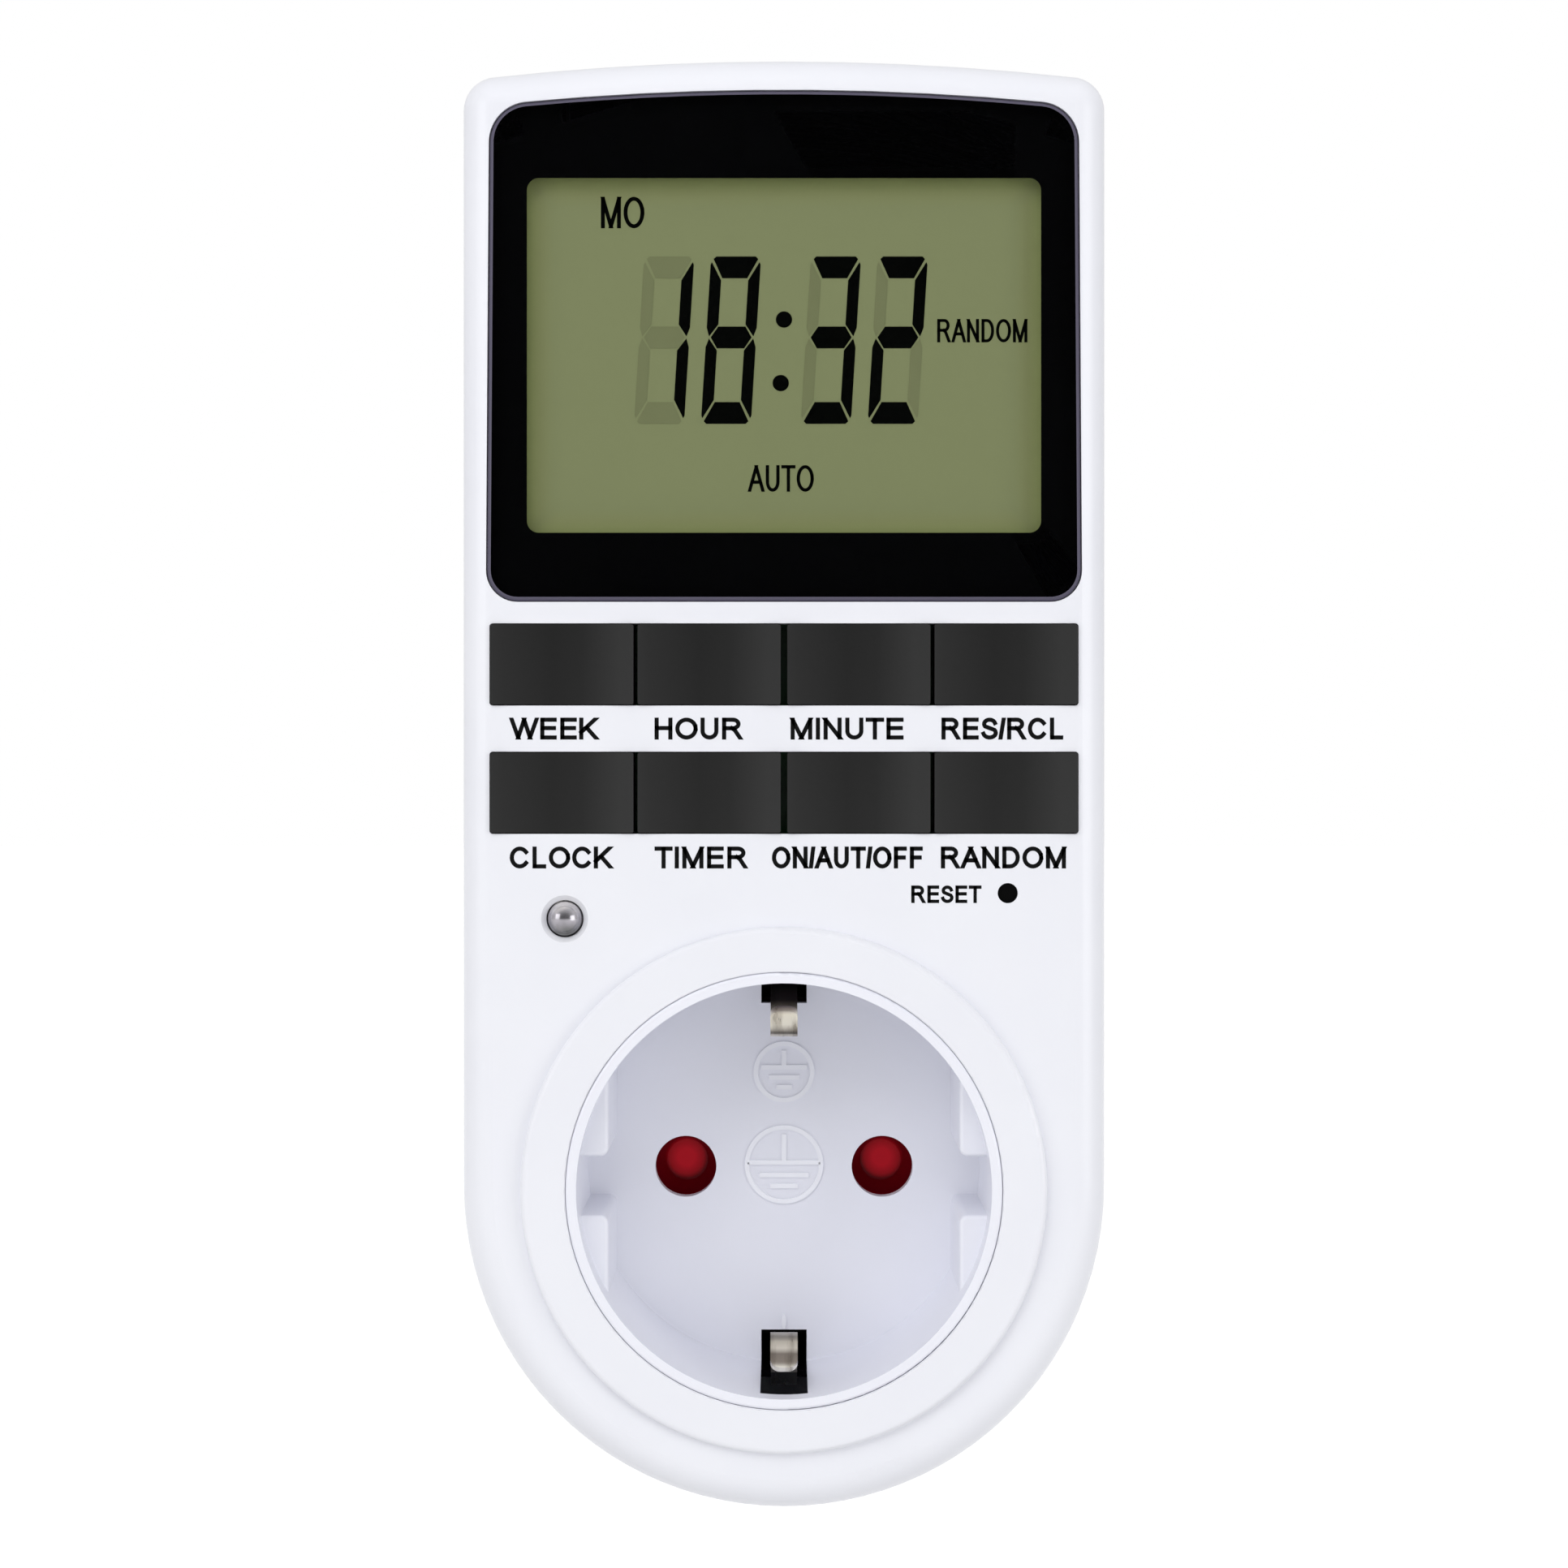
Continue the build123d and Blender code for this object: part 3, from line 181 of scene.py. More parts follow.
WELL_REACH = 18.9 * MM  # radius of the well
STREAK_STRETCH = (1 / (0.9 * MM), 1 / (5 * MM), 1 / (5 * MM))  # 0.9 mm apart and 5 mm long
STREAK_TONES = ((0.3, "#C4C0BC"), (0.55, "#FFFFFF"))
STREAK_GLOSS = {"From Min": 0.2, "From Max": 0.8, "To Min": 0.254, "To Max": 0.323}
CLIP_PAINTED_LIGHT_AND_SHADE = (  # height in millimetres and colour, up the lower clip and then the upper one: painted highlights on the bends, painted shade beside them and up in the upper slot
    (-17.7, "#BDB8B2"),
    (-17.4, "#FFFCF4"),
    (-16.3, "#FFFAEE"),
    (-15.9, "#8E857C"),
    (-15.2, "#857C74"),
    (-14.8, "#DAD3C8"),
    (-14.3, "#C6BFB3"),
    (-13.9, "#A8A29A"),
    (13.5, "#DCD7CE"),
    (13.9, "#D0CABE"),
    (14.1, "#645E58"),
    (14.3, "#B0AA9E"),
    (14.6, "#E4DECE"),
    (14.9, "#FFFAE8"),
    (16.0, "#FFF8E4"),
    (16.35, "#A4988C"),
    (16.7, "#5C5254"),
    (18.0, "#3A3338"),
)


def strap_nickel():
    """Nickelled spring strip, scratched in streaks along its length, with painted highlights on each clip's
    bends and painted shade beside them.

    It is painted near black, as shade, outside the well's wall and behind its floor."""
    material, tree = new_material("strap_nickel")
    place = add(tree, "ShaderNodeTexCoord").outputs["Object"]
    stretch = add(tree, "ShaderNodeMapping", {"Scale": STREAK_STRETCH}, {"Vector": place})
    streaks = add(tree, "ShaderNodeTexNoise", {"Scale": 1.0, "Detail": 3.0}, {"Vector": stretch})
    axes = object_axes(tree)
    span = {"From Min": -WELL_REACH, "From Max": WELL_REACH}
    height = add(tree, "ShaderNodeMapRange", span, {"Value": axes["Z"]})
    stops = [(0.5 + z * MM / WELL_REACH / 2, colour) for z, colour in CLIP_PAINTED_LIGHT_AND_SHADE]
    painted_light_and_shade = add(tree, "ShaderNodeValToRGB", {}, {"Fac": height}, stops)
    lines = add(tree, "ShaderNodeValToRGB", {}, {"Fac": streaks}, STREAK_TONES)
    streaked = {"data_type": "RGBA", "blend_type": "MULTIPLY", "Factor": 1.0}
    streaked_painted_light = add(tree, "ShaderNodeMix", streaked, {6: painted_light_and_shade, 7: lines}).outputs[2]
    # painted shade: near black where the strip runs inside the housing
    off_axis = add(tree, "ShaderNodeMath", {"operation": "ABSOLUTE"}, {0: axes["Z"]})
    beyond_wall = add(tree, "ShaderNodeMath", {"operation": "GREATER_THAN", 1: WELL_REACH}, {0: off_axis})
    behind_floor = add(tree, "ShaderNodeMath", {"operation": "GREATER_THAN", 1: floor_y}, {0: axes["Y"]})
    outside = add(tree, "ShaderNodeMath", {"operation": "MAXIMUM"}, {0: beyond_wall, 1: behind_floor})
    painted_shade = {"data_type": "RGBA", 7: linear("#100D14")}
    tone = add(tree, "ShaderNodeMix", painted_shade, {"Factor": outside, 6: streaked_painted_light}).outputs[2]
    gloss = add(tree, "ShaderNodeMapRange", STREAK_GLOSS, {"Value": streaks})
    look = {"Base Color": tone, "Roughness": gloss}
    shader = add(tree, "ShaderNodeBsdfPrincipled", {"Metallic": 0.7}, look)
    add(tree, "ShaderNodeOutputMaterial", {}, {"Surface": shader})
    return material


# painted shading across each key: pale sides and a darker middle
KEY_PAINTED_SHADING = ((0.0, "#262626"), (0.08, "#222222"), (0.42, "#171717"), (0.62, "#1B1B1B"), (0.88, "#2C2C2C"))


def charcoal_abs():
    """Charcoal caps, each a little hollow across, with painted shading: paler at their sides and darker in
    their middle.
    """
    material, tree = new_material("charcoal_abs")
    place = add(tree, "ShaderNodeTexCoord").outputs["Object"]
    grain = add(tree, "ShaderNodeTexNoise", {"Scale": 1 / (0.3 * MM), "Detail": 2.0}, {"Vector": place})
    pitch = {"clamp": False, "From Min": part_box("week_key")[0].x, "From Max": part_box("hour_key")[0].x}
    columns = add(tree, "ShaderNodeMapRange", pitch, {"Value": object_axes(tree)["X"]})
    across = add(tree, "ShaderNodeMath", {"operation": "FRACT"}, {0: columns})
    tone = add(tree, "ShaderNodeValToRGB", {}, {"Fac": across}, KEY_PAINTED_SHADING)
    bump = add(tree, "ShaderNodeBump", {"Distance": 0.004 * MM}, {"Height": grain})
    finish = {"Roughness": 0.36, "Specular IOR Level": 0.3}
    shader = add(tree, "ShaderNodeBsdfPrincipled", finish, {"Base Color": tone, "Normal": bump})
    add(tree, "ShaderNodeOutputMaterial", {}, {"Surface": shader})
    return material


# painted light and shade up the bead, dark at the bottom and pale at the top
BEAD_PAINTED_LIGHT = ((0.3, "#4A4C48"), (0.55, "#8E8B91"), (0.8, "#B2AFB5"), (1.0, "#EEEAE8"))
BEAD_CLOUDS = 0.3  # how much the clouds add to a bead's height


def led_bead():
    """Silvery moulded lamp under a clear gloss, with painted light: pale above and dark below, as light falls
    from above.
    """
    material, tree = new_material("led_bead")
    lowest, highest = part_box("indicator_led")
    span = {"clamp": False, "From Min": lowest.z, "From Max": highest.z}
    height = add(tree, "ShaderNodeMapRange", span, {"Value": object_axes(tree)["Z"]})
    place = add(tree, "ShaderNodeTexCoord").outputs["Object"]
    clouds = add(tree, "ShaderNodeTexNoise", {"Scale": 1 / (1.2 * MM), "Detail": 2.0}, {"Vector": place})
    cloudy = {"operation": "MULTIPLY_ADD", 1: BEAD_CLOUDS}
    level = add(tree, "ShaderNodeMath", cloudy, {0: clouds, 2: height})
    tone = add(tree, "ShaderNodeValToRGB", {}, {"Fac": level}, BEAD_PAINTED_LIGHT)
    finish = {"Metallic": 0.8, "Roughness": 0.2, "Coat Weight": 0.6, "Coat Roughness": 0.06}
    shader = add(tree, "ShaderNodeBsdfPrincipled", finish, {"Base Color": tone})
    add(tree, "ShaderNodeOutputMaterial", {}, {"Surface": shader})
    return material


WINDOW_WIDTH = 47.1 * MM
WINDOW_BOTTOM = 60.0 * MM
WINDOW_TOP = 92.5 * MM
WINDOW_FADE = 2.4 * MM  # width of the edge band, painted lighter and yellower against the shade there
# olive glass, with painted light along the edges
GLASS_TONES_WITH_PAINTED_EDGE_LIGHT = ((0.0, "#8E9562"), (0.5, "#878B61"), (1.0, "#848963"))


def display_glass():
    """Olive display glass over foil, painted lighter and yellower along the window's edges, a painted light
    against the shade of the window's walls.
    """
    material, tree = new_material("display_glass")
    axes = object_axes(tree)
    half_width = WINDOW_WIDTH / 2
    half_height = (WINDOW_TOP - WINDOW_BOTTOM) / 2
    aside = add(tree, "ShaderNodeMath", {"operation": "ABSOLUTE"}, {0: axes["X"]})
    side_fade = {"From Min": half_width, "From Max": half_width - WINDOW_FADE}
    from_side = add(tree, "ShaderNodeMapRange", side_fade, {"Value": aside})
    centred = {"operation": "SUBTRACT", 1: WINDOW_BOTTOM + half_height}
    lifted = add(tree, "ShaderNodeMath", centred, {0: axes["Z"]})
    upright = add(tree, "ShaderNodeMath", {"operation": "ABSOLUTE"}, {0: lifted})
    end_fade = {"From Min": half_height, "From Max": half_height - WINDOW_FADE}
    from_end = add(tree, "ShaderNodeMapRange", end_fade, {"Value": upright})
    inwards = add(tree, "ShaderNodeMath", {"operation": "MINIMUM"}, {0: from_side, 1: from_end})
    tone = add(tree, "ShaderNodeValToRGB", {}, {"Fac": inwards}, GLASS_TONES_WITH_PAINTED_EDGE_LIGHT)
    matt = {"Roughness": 0.5, "Specular IOR Level": 0.0}
    shader = add(tree, "ShaderNodeBsdfPrincipled", matt, {"Base Color": tone})
    add(tree, "ShaderNodeOutputMaterial", {}, {"Surface": shader})
    return material


# Polished ABS: white with a bluish cast, and a soft sheen on its rounded edges.
WHITE_ABS = moulded("white_abs", ("#ECEDF4", "#F0F1F7"), 0.3, grain=0.5, relief=0.004, spread=0.02)
# The well's heat-proof plastic, a little cooler and duller than the case.
WHITE_WELL = moulded("white_well_plastic", ("#EDEEF7", "#F1F2FA"), 0.34, grain=0.5, relief=0.005, spread=0.02)
# Black nylon with a fine spark-eroded grain, which only glints when seen edge on.
BLACK_MOULDED = moulded("black_moulding", ("#0C0C0E", "#121214"), 0.45, shine=0.25)
# Pad-printed ink: flat black that hardly reflects.
BLACK_INK = moulded("black_ink", ("#050506", "#09090A"), 0.5, relief=0.002, shine=0.1)
# Ink on the window's back, so that all its gloss is the window's.
BACKED_INK = moulded("ink_behind_acrylic", ("#040405", "#060607"), 0.6, relief=0.001, shine=0.0)
# Black acetal plunger, painted a deeper black than the other mouldings as the shade at the bottom of its
# pinhole.
ACETAL_IN_PAINTED_SHADE = moulded("acetal_in_painted_shade", ("#030303", "#050505"), 0.6, shine=0.05)
# Bright nickel with a warm cast, satin from handling.
NICKEL = moulded("nickel_plate", ("#C9C5BC", "#D8D5CE"), 0.24, grain=0.8, relief=0.004, metallic=1.0)
# Rolled brass: yellow, with a soft shine.
BRASS = moulded("rolled_brass", ("#B08D4A", "#C6A35C"), 0.3, metallic=1.0)
# Zinc plate: cool grey and a little dull.
STEEL = moulded("zinc_plated_steel", ("#B4B6B8", "#C8CACB"), 0.32, metallic=1.0)

FINISHES = {
    "white_case": WHITE_ABS,
    "white_insert": WHITE_WELL,
    "clear_window": clear_acrylic(),
    "black_print": BACKED_INK,
    "key_cap": charcoal_abs(),
    "switch_plunger": BLACK_MOULDED,
    "switch_body": BLACK_MOULDED,
    "red_shutter": red_polycarbonate(),
    "spring_steel": STEEL,
    "zinc_screw": STEEL,
    "nickel_strip": NICKEL,
    "nickel_pin": NICKEL,
    "brass_pin": BRASS,
    "brass_strip": BRASS,
    "black_block": BLACK_MOULDED,
    # Extruded PVC sleeves with a satin skin, in the mains colours.
    "brown_lead": moulded("brown_pvc", ("#4A2A18", "#5A3420"), 0.45),
    "blue_lead": moulded("blue_pvc", ("#1F4C8C", "#2A5AA0"), 0.45),
    "lcd_glass": display_glass(),
    # Foil with a brushed back: pale, grey-green and without glare.
    "reflector_foil": moulded("matt_foil", ("#A9AD9C", "#B9BDAC"), 0.6),
    # Silicone with carbon layers, seen as a dull pink-brown.
    "zebra_rubber": moulded("zebra_silicone", ("#6A3038", "#8A5058"), 0.7),
    "led_lens": led_bead(),
    # Green lacquer over copper, evenly glossy.
    "green_board": moulded("solder_resist", ("#0E4A22", "#146030"), 0.35),
    "steel_can": STEEL,
    # Grey flexible PVC, duller than the leads.
    "ribbon": moulded("grey_ribbon", ("#8C8E92", "#A2A4A8"), 0.5),
    # Satin injection-moulded cases and shrunk sleeves of the components.
    "relay_case": moulded("blue_relay_case", ("#1C4A8C", "#24589C"), 0.4),
    "capacitor_case": moulded("yellow_film_case", ("#B88A1C", "#C89A2C"), 0.4),
    "capacitor_sleeve": moulded("black_sleeve", ("#14161C", "#1E2028"), 0.3),
    # Dipped epoxy shines, and the fuse resistor's cement is chalky.
    "varistor_coat": moulded("blue_epoxy_coat", ("#24609C", "#2E70AC"), 0.35),
    "resistor_coat": moulded("green_cement", ("#5C7058", "#6C8068"), 0.6),
}
for part in frame["record"]["subparts"]:
    node = frame["nodes"][part["node"]]
    node.data.materials.clear()
    node.data.materials.append(FINISHES[part["material_slot"]])
# The shutter cover gets black moulding as painted shade, so the slots behind the well's wall read dark.
OWN_FINISHES = {"earth_strap": strap_nickel(), "reset_button": ACETAL_IN_PAINTED_SHADE, "shutter_cover": BLACK_MOULDED}
for name, material in OWN_FINISHES.items():
    frame["nodes"][name].data.materials[0] = material


# ---------------------------------------------------------------- piece helpers
def piece_from(bm, name, material, body=HOUSING):
    """Turns a bmesh into a piece of one material that rides on a body."""
    bmesh.ops.recalc_face_normals(bm, faces=bm.faces)
    mesh = bpy.data.meshes.new(name)
    bm.to_mesh(mesh)
    bm.free()
    mesh.materials.append(material)
    piece = bpy.data.objects.new(name, mesh)
    bpy.context.scene.collection.objects.link(piece)
    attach(piece, body)


def thicken(bm, front_y, depth):
    """Turns flat faces drawn in X and Z into plates from front_y back by depth."""
    made = bmesh.ops.extrude_face_region(bm, geom=bm.faces[:])
    moved = [v for v in made["geom"] if isinstance(v, bmesh.types.BMVert)]
    bmesh.ops.translate(bm, verts=moved, vec=(0, depth, 0))
    bmesh.ops.translate(bm, verts=bm.verts, vec=(0, front_y, 0))


# ---------------------------------------------------------------- lettering
def bow(x, z, across, up, start, end, steps=12):
    """Points along an ellipse's arc, from start to end in degrees."""
    turns = [radians(start + (end - start) * i / steps) for i in range(steps + 1)]
    return [(x + across * cos(t), z + up * sin(t)) for t in turns]


# Each capital's width in cap heights and its strokes, drawn in a unit square. The O's stroke overlaps itself.
LETTERS = {
    "A": (0.94, [[(0, 0), (0.5, 1)], [(0.5, 1), (1, 0)], [(0.2, 0.34), (0.8, 0.34)]]),
    "C": (0.94, [bow(0.5, 0.5, 0.5, 0.5, 38, 322, 20)]),
    "D": (0.84, [[(0, 0), (0, 1)], [(0, 1), *bow(0.42, 0.5, 0.58, 0.5, 90, -90), (0, 0)]]),
    "E": (0.76, [[(0, 0), (0, 1)], [(0, 1), (1, 1)], [(0, 0.53), (0.94, 0.53)], [(0, 0), (1, 0)]]),
    "F": (0.7, [[(0, 0), (0, 1)], [(0, 1), (1, 1)], [(0, 0.5), (0.88, 0.5)]]),
    "H": (0.8, [[(0, 0), (0, 1)], [(1, 0), (1, 1)], [(0, 0.53), (1, 0.53)]]),
    "I": (0.18, [[(0.5, 0), (0.5, 1)]]),
    "K": (0.84, [[(0, 0), (0, 1)], [(0.94, 1), (0, 0.3)], [(0.36, 0.57), (1, 0)]]),
    "L": (0.64, [[(0, 0), (0, 1)], [(0, 0), (1, 0)]]),
    "M": (0.96, [[(0, 0), (0, 1)], [(0, 1), (0.5, 0)], [(0.5, 0), (1, 1)], [(1, 0), (1, 1)]]),
    "N": (0.8, [[(0, 0), (0, 1)], [(0, 1), (1, 0)], [(1, 0), (1, 1)]]),
    "O": (1.0, [bow(0.5, 0.5, 0.5, 0.5, 0, 372, 30)]),
    "R": (
        0.88,
        [
            [(0, 0), (0, 1)],
            [(0, 1), *bow(0.56, 0.76, 0.36, 0.24, 90, -90), (0, 0.52)],
            [(0.5, 0.52), (0.68, 0.42), (1, 0)],
        ],
    ),
    "S": (
        0.8,
        [[*bow(0.5, 0.76, 0.44, 0.24, 12, 215), *bow(0.5, 0.26, 0.5, 0.26, 40, -170)]],
    ),
    "T": (0.82, [[(0, 1), (1, 1)], [(0.5, 0), (0.5, 1)]]),
    "U": (0.8, [[(0, 1), *bow(0.5, 0.36, 0.5, 0.36, 180, 360), (1, 1)]]),
    "W": (1.32, [[(0, 1), (0.26, 0)], [(0.26, 0), (0.5, 1)], [(0.5, 1), (0.74, 0)], [(0.74, 0), (1, 1)]]),
    "/": (0.34, [[(0, 0), (1, 1)]]),
}
# Room at each side of a letter in cap heights: less beside slanted and round ones.
LETTER_GAPS = {"A": 0.0, "W": 0.0, "T": 0.02, "/": -0.01, "O": 0.045, "C": 0.045, "S": 0.045, "K": 0.03}
STRAIGHT_GAP = 0.08
INK_DEPTH = 0.015 * MM  # how far print stands out of its face, and how far it sinks in
LEVEL = 0.05  # a stroke whose direction is within this of level or upright isn't slanted
SLANT_TIP = 3  # how many half widths a slanted tip is made longer, for the cut at the letters' lines
NEAR_LINE = 1.01  # a tip within this many half widths of a line ends on it


def tip_on_line(height, half):
    """Whether a stroke ends on the letters' upper or lower line."""
    return min(height, 1 - height) < half * NEAR_LINE


def ribbon(bm, points, half):
    """Adds one stroke of width 2 * half as mitred quads in X and Z, with longer ends that are cut later."""
    route = [Vector((x, 0, z)) for x, z in points]
    for tip, inner in ((0, 1), (-1, -2)):
        way = (route[tip] - route[inner]).normalized()
        slanted = abs(way.x) > LEVEL and abs(way.z) > LEVEL
        longer = SLANT_TIP if slanted and tip_on_line(route[tip].z, half) else 1
        route[tip] = route[tip] + way * half * longer
    across = Vector((0, 1, 0))
    sides = [(b - a).normalized().cross(across) for a, b in zip(route, route[1:])]
    rows = []
    for i, point in enumerate(route):
        before, after = sides[max(i - 1, 0)], sides[min(i, len(sides) - 1)]
        mitre = (before + after) * half / (1 + before.dot(after))
        rows.append([bm.verts.new(point + mitre), bm.verts.new(point - mitre)])
    for (a, b), (c, d) in zip(rows, rows[1:]):
        bm.faces.new((a, c, d, b))


def word(name, text, left, right, baseline, cap, weight, front_y, material):
    """Capitals between left and right at a baseline, all in millimetres, printed on the plane front_y.

    cap is their height, and weight the strokes' width as a share of it. The letters are made as narrow as
    they need to be, and their strokes keep their width."""
    half = weight / 2
    sides = [LETTER_GAPS.get(letter, STRAIGHT_GAP) for letter in text]
    natural = sum(LETTERS[letter][0] for letter in text) + 2 * sum(sides) - sides[0] - sides[-1]
    narrow = (right - left) / cap / natural
    bm = bmesh.new()
    x = -sides[0] * narrow
    for letter, side in zip(text, sides):
        wide, strokes = LETTERS[letter]
        x += side * narrow
        reach = wide * narrow - weight
        for stroke in strokes:
            ribbon(bm, [(x + half + u * reach, half + v * (1 - weight)) for u, v in stroke], half)
        x += (wide + side) * narrow
    for height, way in ((0, -1), (1, 1)):
        geometry = bm.verts[:] + bm.edges[:] + bm.faces[:]
        bmesh.ops.bisect_plane(
            bm, geom=geometry, dist=1e-6, plane_co=(0, 0, height), plane_no=(0, 0, way), clear_outer=True
        )
    bmesh.ops.scale(bm, verts=bm.verts, vec=(cap * MM, 1, cap * MM))
    bmesh.ops.translate(bm, verts=bm.verts, vec=(left * MM, 0, baseline * MM))
    thicken(bm, front_y - INK_DEPTH, 2 * INK_DEPTH)
    piece_from(bm, name, material)


CAP = 2.0
WEIGHT = 0.19
FIRST_LINE = 41.05
SECOND_LINE = 29.3
RESET_CAP = 1.6
RESET_LINE = 26.15
LEGENDS = (  # key, text, left side, right side and baseline, in millimetres
    ("week", "WEEK", -25.0, -17.0, FIRST_LINE),
    ("hour", "HOUR", -11.8, -3.85, FIRST_LINE),
    ("minute", "MINUTE", 0.6, 10.9, FIRST_LINE),
    ("recall", "RES/RCL", 14.35, 25.45, FIRST_LINE),
    ("clock", "CLOCK", -25.0, -15.7, SECOND_LINE),
    ("timer", "TIMER", -11.8, -3.4, SECOND_LINE),
    ("mode", "ON/AUT/OFF", -1.1, 12.65, SECOND_LINE),
    ("random", "RANDOM", 14.3, 25.7, SECOND_LINE),
)
for key, text, left, right, line in LEGENDS:
    word(f"{key}_legend", text, left, right, line, CAP, WEIGHT, face_y, BLACK_INK)
word("reset_legend", "RESET", 11.6, 18.0, RESET_LINE, RESET_CAP, WEIGHT, face_y, BLACK_INK)

# ---------------------------------------------------------------- display: segments and words
# Liquid crystal that blocks the light, and the faint shade of segments that don't.
LIT = moulded("lit_segment", ("#040504", "#070807"), 0.5, relief=0.002, shine=0.0)
UNLIT = moulded("unlit_segment", ("#767A58", "#787C5A"), 0.5, relief=0.002, shine=0.0)
SEGMENT_DEPTH = 0.03 * MM
DIGIT_WIDTH = 4.6 * MM
DIGIT_HEIGHT = 15.4 * MM
BAR = 2.0 * MM  # thickness of the level segments
POST = 1.05 * MM  # thickness of the upright segments
SPLIT = 0.2 * MM  # gap between neighbouring segments
WAIST = 7.95 * MM  # height of the middle segment
DIGIT_SLANT = radians(3.5)
DIGIT_FOOT = 70.15 * MM


def flip(outline, axis, span):
    """An outline turned over across (axis 0) or upright (axis 1) within a span."""
    return [tuple(span - value if i == axis else value for i, value in enumerate(point)) for point in outline]


def segment_outlines():
    """Outlines of the seven segments, a to g, drawn upright from the digit's lower left corner.

    Their tips and bevels are shares of the thickness of a post or a bar."""
    wide, tall = DIGIT_WIDTH, DIGIT_HEIGHT
    top = [
        (0.24 * POST, tall - 0.12 * BAR),
        (0.46 * POST, tall),
        (wide - 0.46 * POST, tall),
        (wide - 0.24 * POST, tall - 0.12 * BAR),
        (wide - 1.1 * POST, tall - BAR),
        (1.1 * POST, tall - BAR),
    ]

    def side(mid):
        """The upper left segment above a waist at the height mid."""
        return [
            (0, mid + 0.45 * BAR),
            (0, tall - 0.38 * BAR),
            (0.1 * POST, tall - 0.26 * BAR),
            (POST, tall - BAR - SPLIT),
            (POST, mid + BAR / 2 + SPLIT),
            (0.25 * POST, mid + SPLIT / 2),
        ]

    middle = [
        (0.4 * POST, WAIST),
        (POST, WAIST + BAR / 2),
        (wide - POST, WAIST + BAR / 2),
        (wide - 0.4 * POST, WAIST),
        (wide - POST, WAIST - BAR / 2),
        (POST, WAIST - BAR / 2),
    ]
    upper_left, lower_left = side(WAIST), flip(side(tall - WAIST), 1, tall)
    return {
        "a": top,
        "b": flip(upper_left, 0, wide),
        "c": flip(lower_left, 0, wide),
        "d": flip(top, 1, tall),
        "e": lower_left,
        "f": upper_left,
        "g": middle,
    }


DIGITS = ((-13.8, "bc"), (-7.65, "abcdefg"), (1.55, "abgcd"), (7.7, "abged"))  # left side, lit segments
COLON = ((0.0, 79.75), (-0.3, 73.9))  # middles of its dots
COLON_RADIUS = 0.75 * MM
WORDS = (  # name, text, left side, right side, baseline, height and weight
    ("day_word", "MO", -16.85, -12.85, 88.15, 2.9, 0.125),
    ("random_word", "RANDOM", 14.1, 22.4, 77.65, 2.15, 0.13),
    ("auto_word", "AUTO", -3.3, 2.75, 63.9, 2.45, 0.125),
)


def segments(name, lit, material):
    """The display's lit or unlit segments as one piece of thin plates on the glass."""
    bm = bmesh.new()
    for left, shown in DIGITS:
        for letter, outline in segment_outlines().items():
            if (letter in shown) == lit:
                corners = [(left * MM + x + z * tan(DIGIT_SLANT), 0, DIGIT_FOOT + z) for x, z in outline]
                bm.faces.new([bm.verts.new(corner) for corner in corners])
    if lit:
        for x, z in COLON:
            dot = bmesh.ops.create_circle(bm, cap_ends=True, segments=32, radius=COLON_RADIUS)
            place = Matrix.Translation((x * MM, 0, z * MM)) @ Matrix.Rotation(pi / 2, 4, "X")
            bmesh.ops.transform(bm, matrix=place, verts=dot["verts"])
    thicken(bm, glass_y - SEGMENT_DEPTH, 2 * SEGMENT_DEPTH)
    piece_from(bm, name, material)


segments("lit_segments", True, LIT)
segments("unlit_segments", False, UNLIT)
for name, text, left, right, line, cap, weight in WORDS:
    word(name, text, left, right, line, cap, weight, glass_y, LIT)

# ---------------------------------------------------------------- earth marks moulded on the well's floor
MARK_LINE = 0.44 * MM
MARK_RELIEF = 0.2 * MM
# The mould's polished strokes, painted paler than the floor round them as a painted highlight.
MARK_PAINTED_HIGHLIGHT = moulded("well_plastic_painted_highlight", ("#F7F8FF", "#F9FAFF"), 0.22, relief=0.001, spread=0.02)


def earth_mark(name, z, radius, bar_widths, bar_heights):
    """A ring with the earth sign in it, standing a little proud of the well's floor.

    The bars' widths and heights are shares of the ring's radius."""
    bm = bmesh.new()
    for edge_radius in (radius, radius - MARK_LINE):
        circle = bmesh.ops.create_circle(bm, segments=64, radius=edge_radius)
        bmesh.ops.rotate(bm, verts=circle["verts"], matrix=Matrix.Rotation(pi / 2, 3, "X"))
    bmesh.ops.bridge_loops(bm, edges=bm.edges)
    bars = [(wide * radius, MARK_LINE, height * radius) for wide, height in zip(bar_widths, bar_heights)]
    stem = (1 - bar_heights[0]) * radius - 2 * MARK_LINE
    bars.append((MARK_LINE, stem, bar_heights[0] * radius + stem / 2))
    for wide, tall, height in bars:
        bar = bmesh.ops.create_grid(bm, x_segments=1, y_segments=1, size=0.5)
        shape = Matrix.Diagonal((wide, 1, tall, 1)) @ Matrix.Rotation(pi / 2, 4, "X")
        bmesh.ops.transform(bm, matrix=Matrix.Translation((0, 0, height)) @ shape, verts=bar["verts"])
    bmesh.ops.translate(bm, verts=bm.verts, vec=(0, 0, z))
    thicken(bm, floor_y - MARK_RELIEF, 2 * MARK_RELIEF)
    piece_from(bm, name, MARK_PAINTED_HIGHLIGHT)


earth_mark("upper_earth_mark", 9.15 * MM, 2.95 * MM, (1.5, 1.0, 0.5), (0.15, -0.18, -0.5))
earth_mark("centre_earth_mark", 0.2 * MM, 3.8 * MM, (1.85, 1.25, 0.7), (0.05, -0.27, -0.55))

GATE_SHAPE = (0.22 * MM, 0.75 * MM)  # half its width and half its height
GATE_Z = -15.0 * MM  # height of its middle


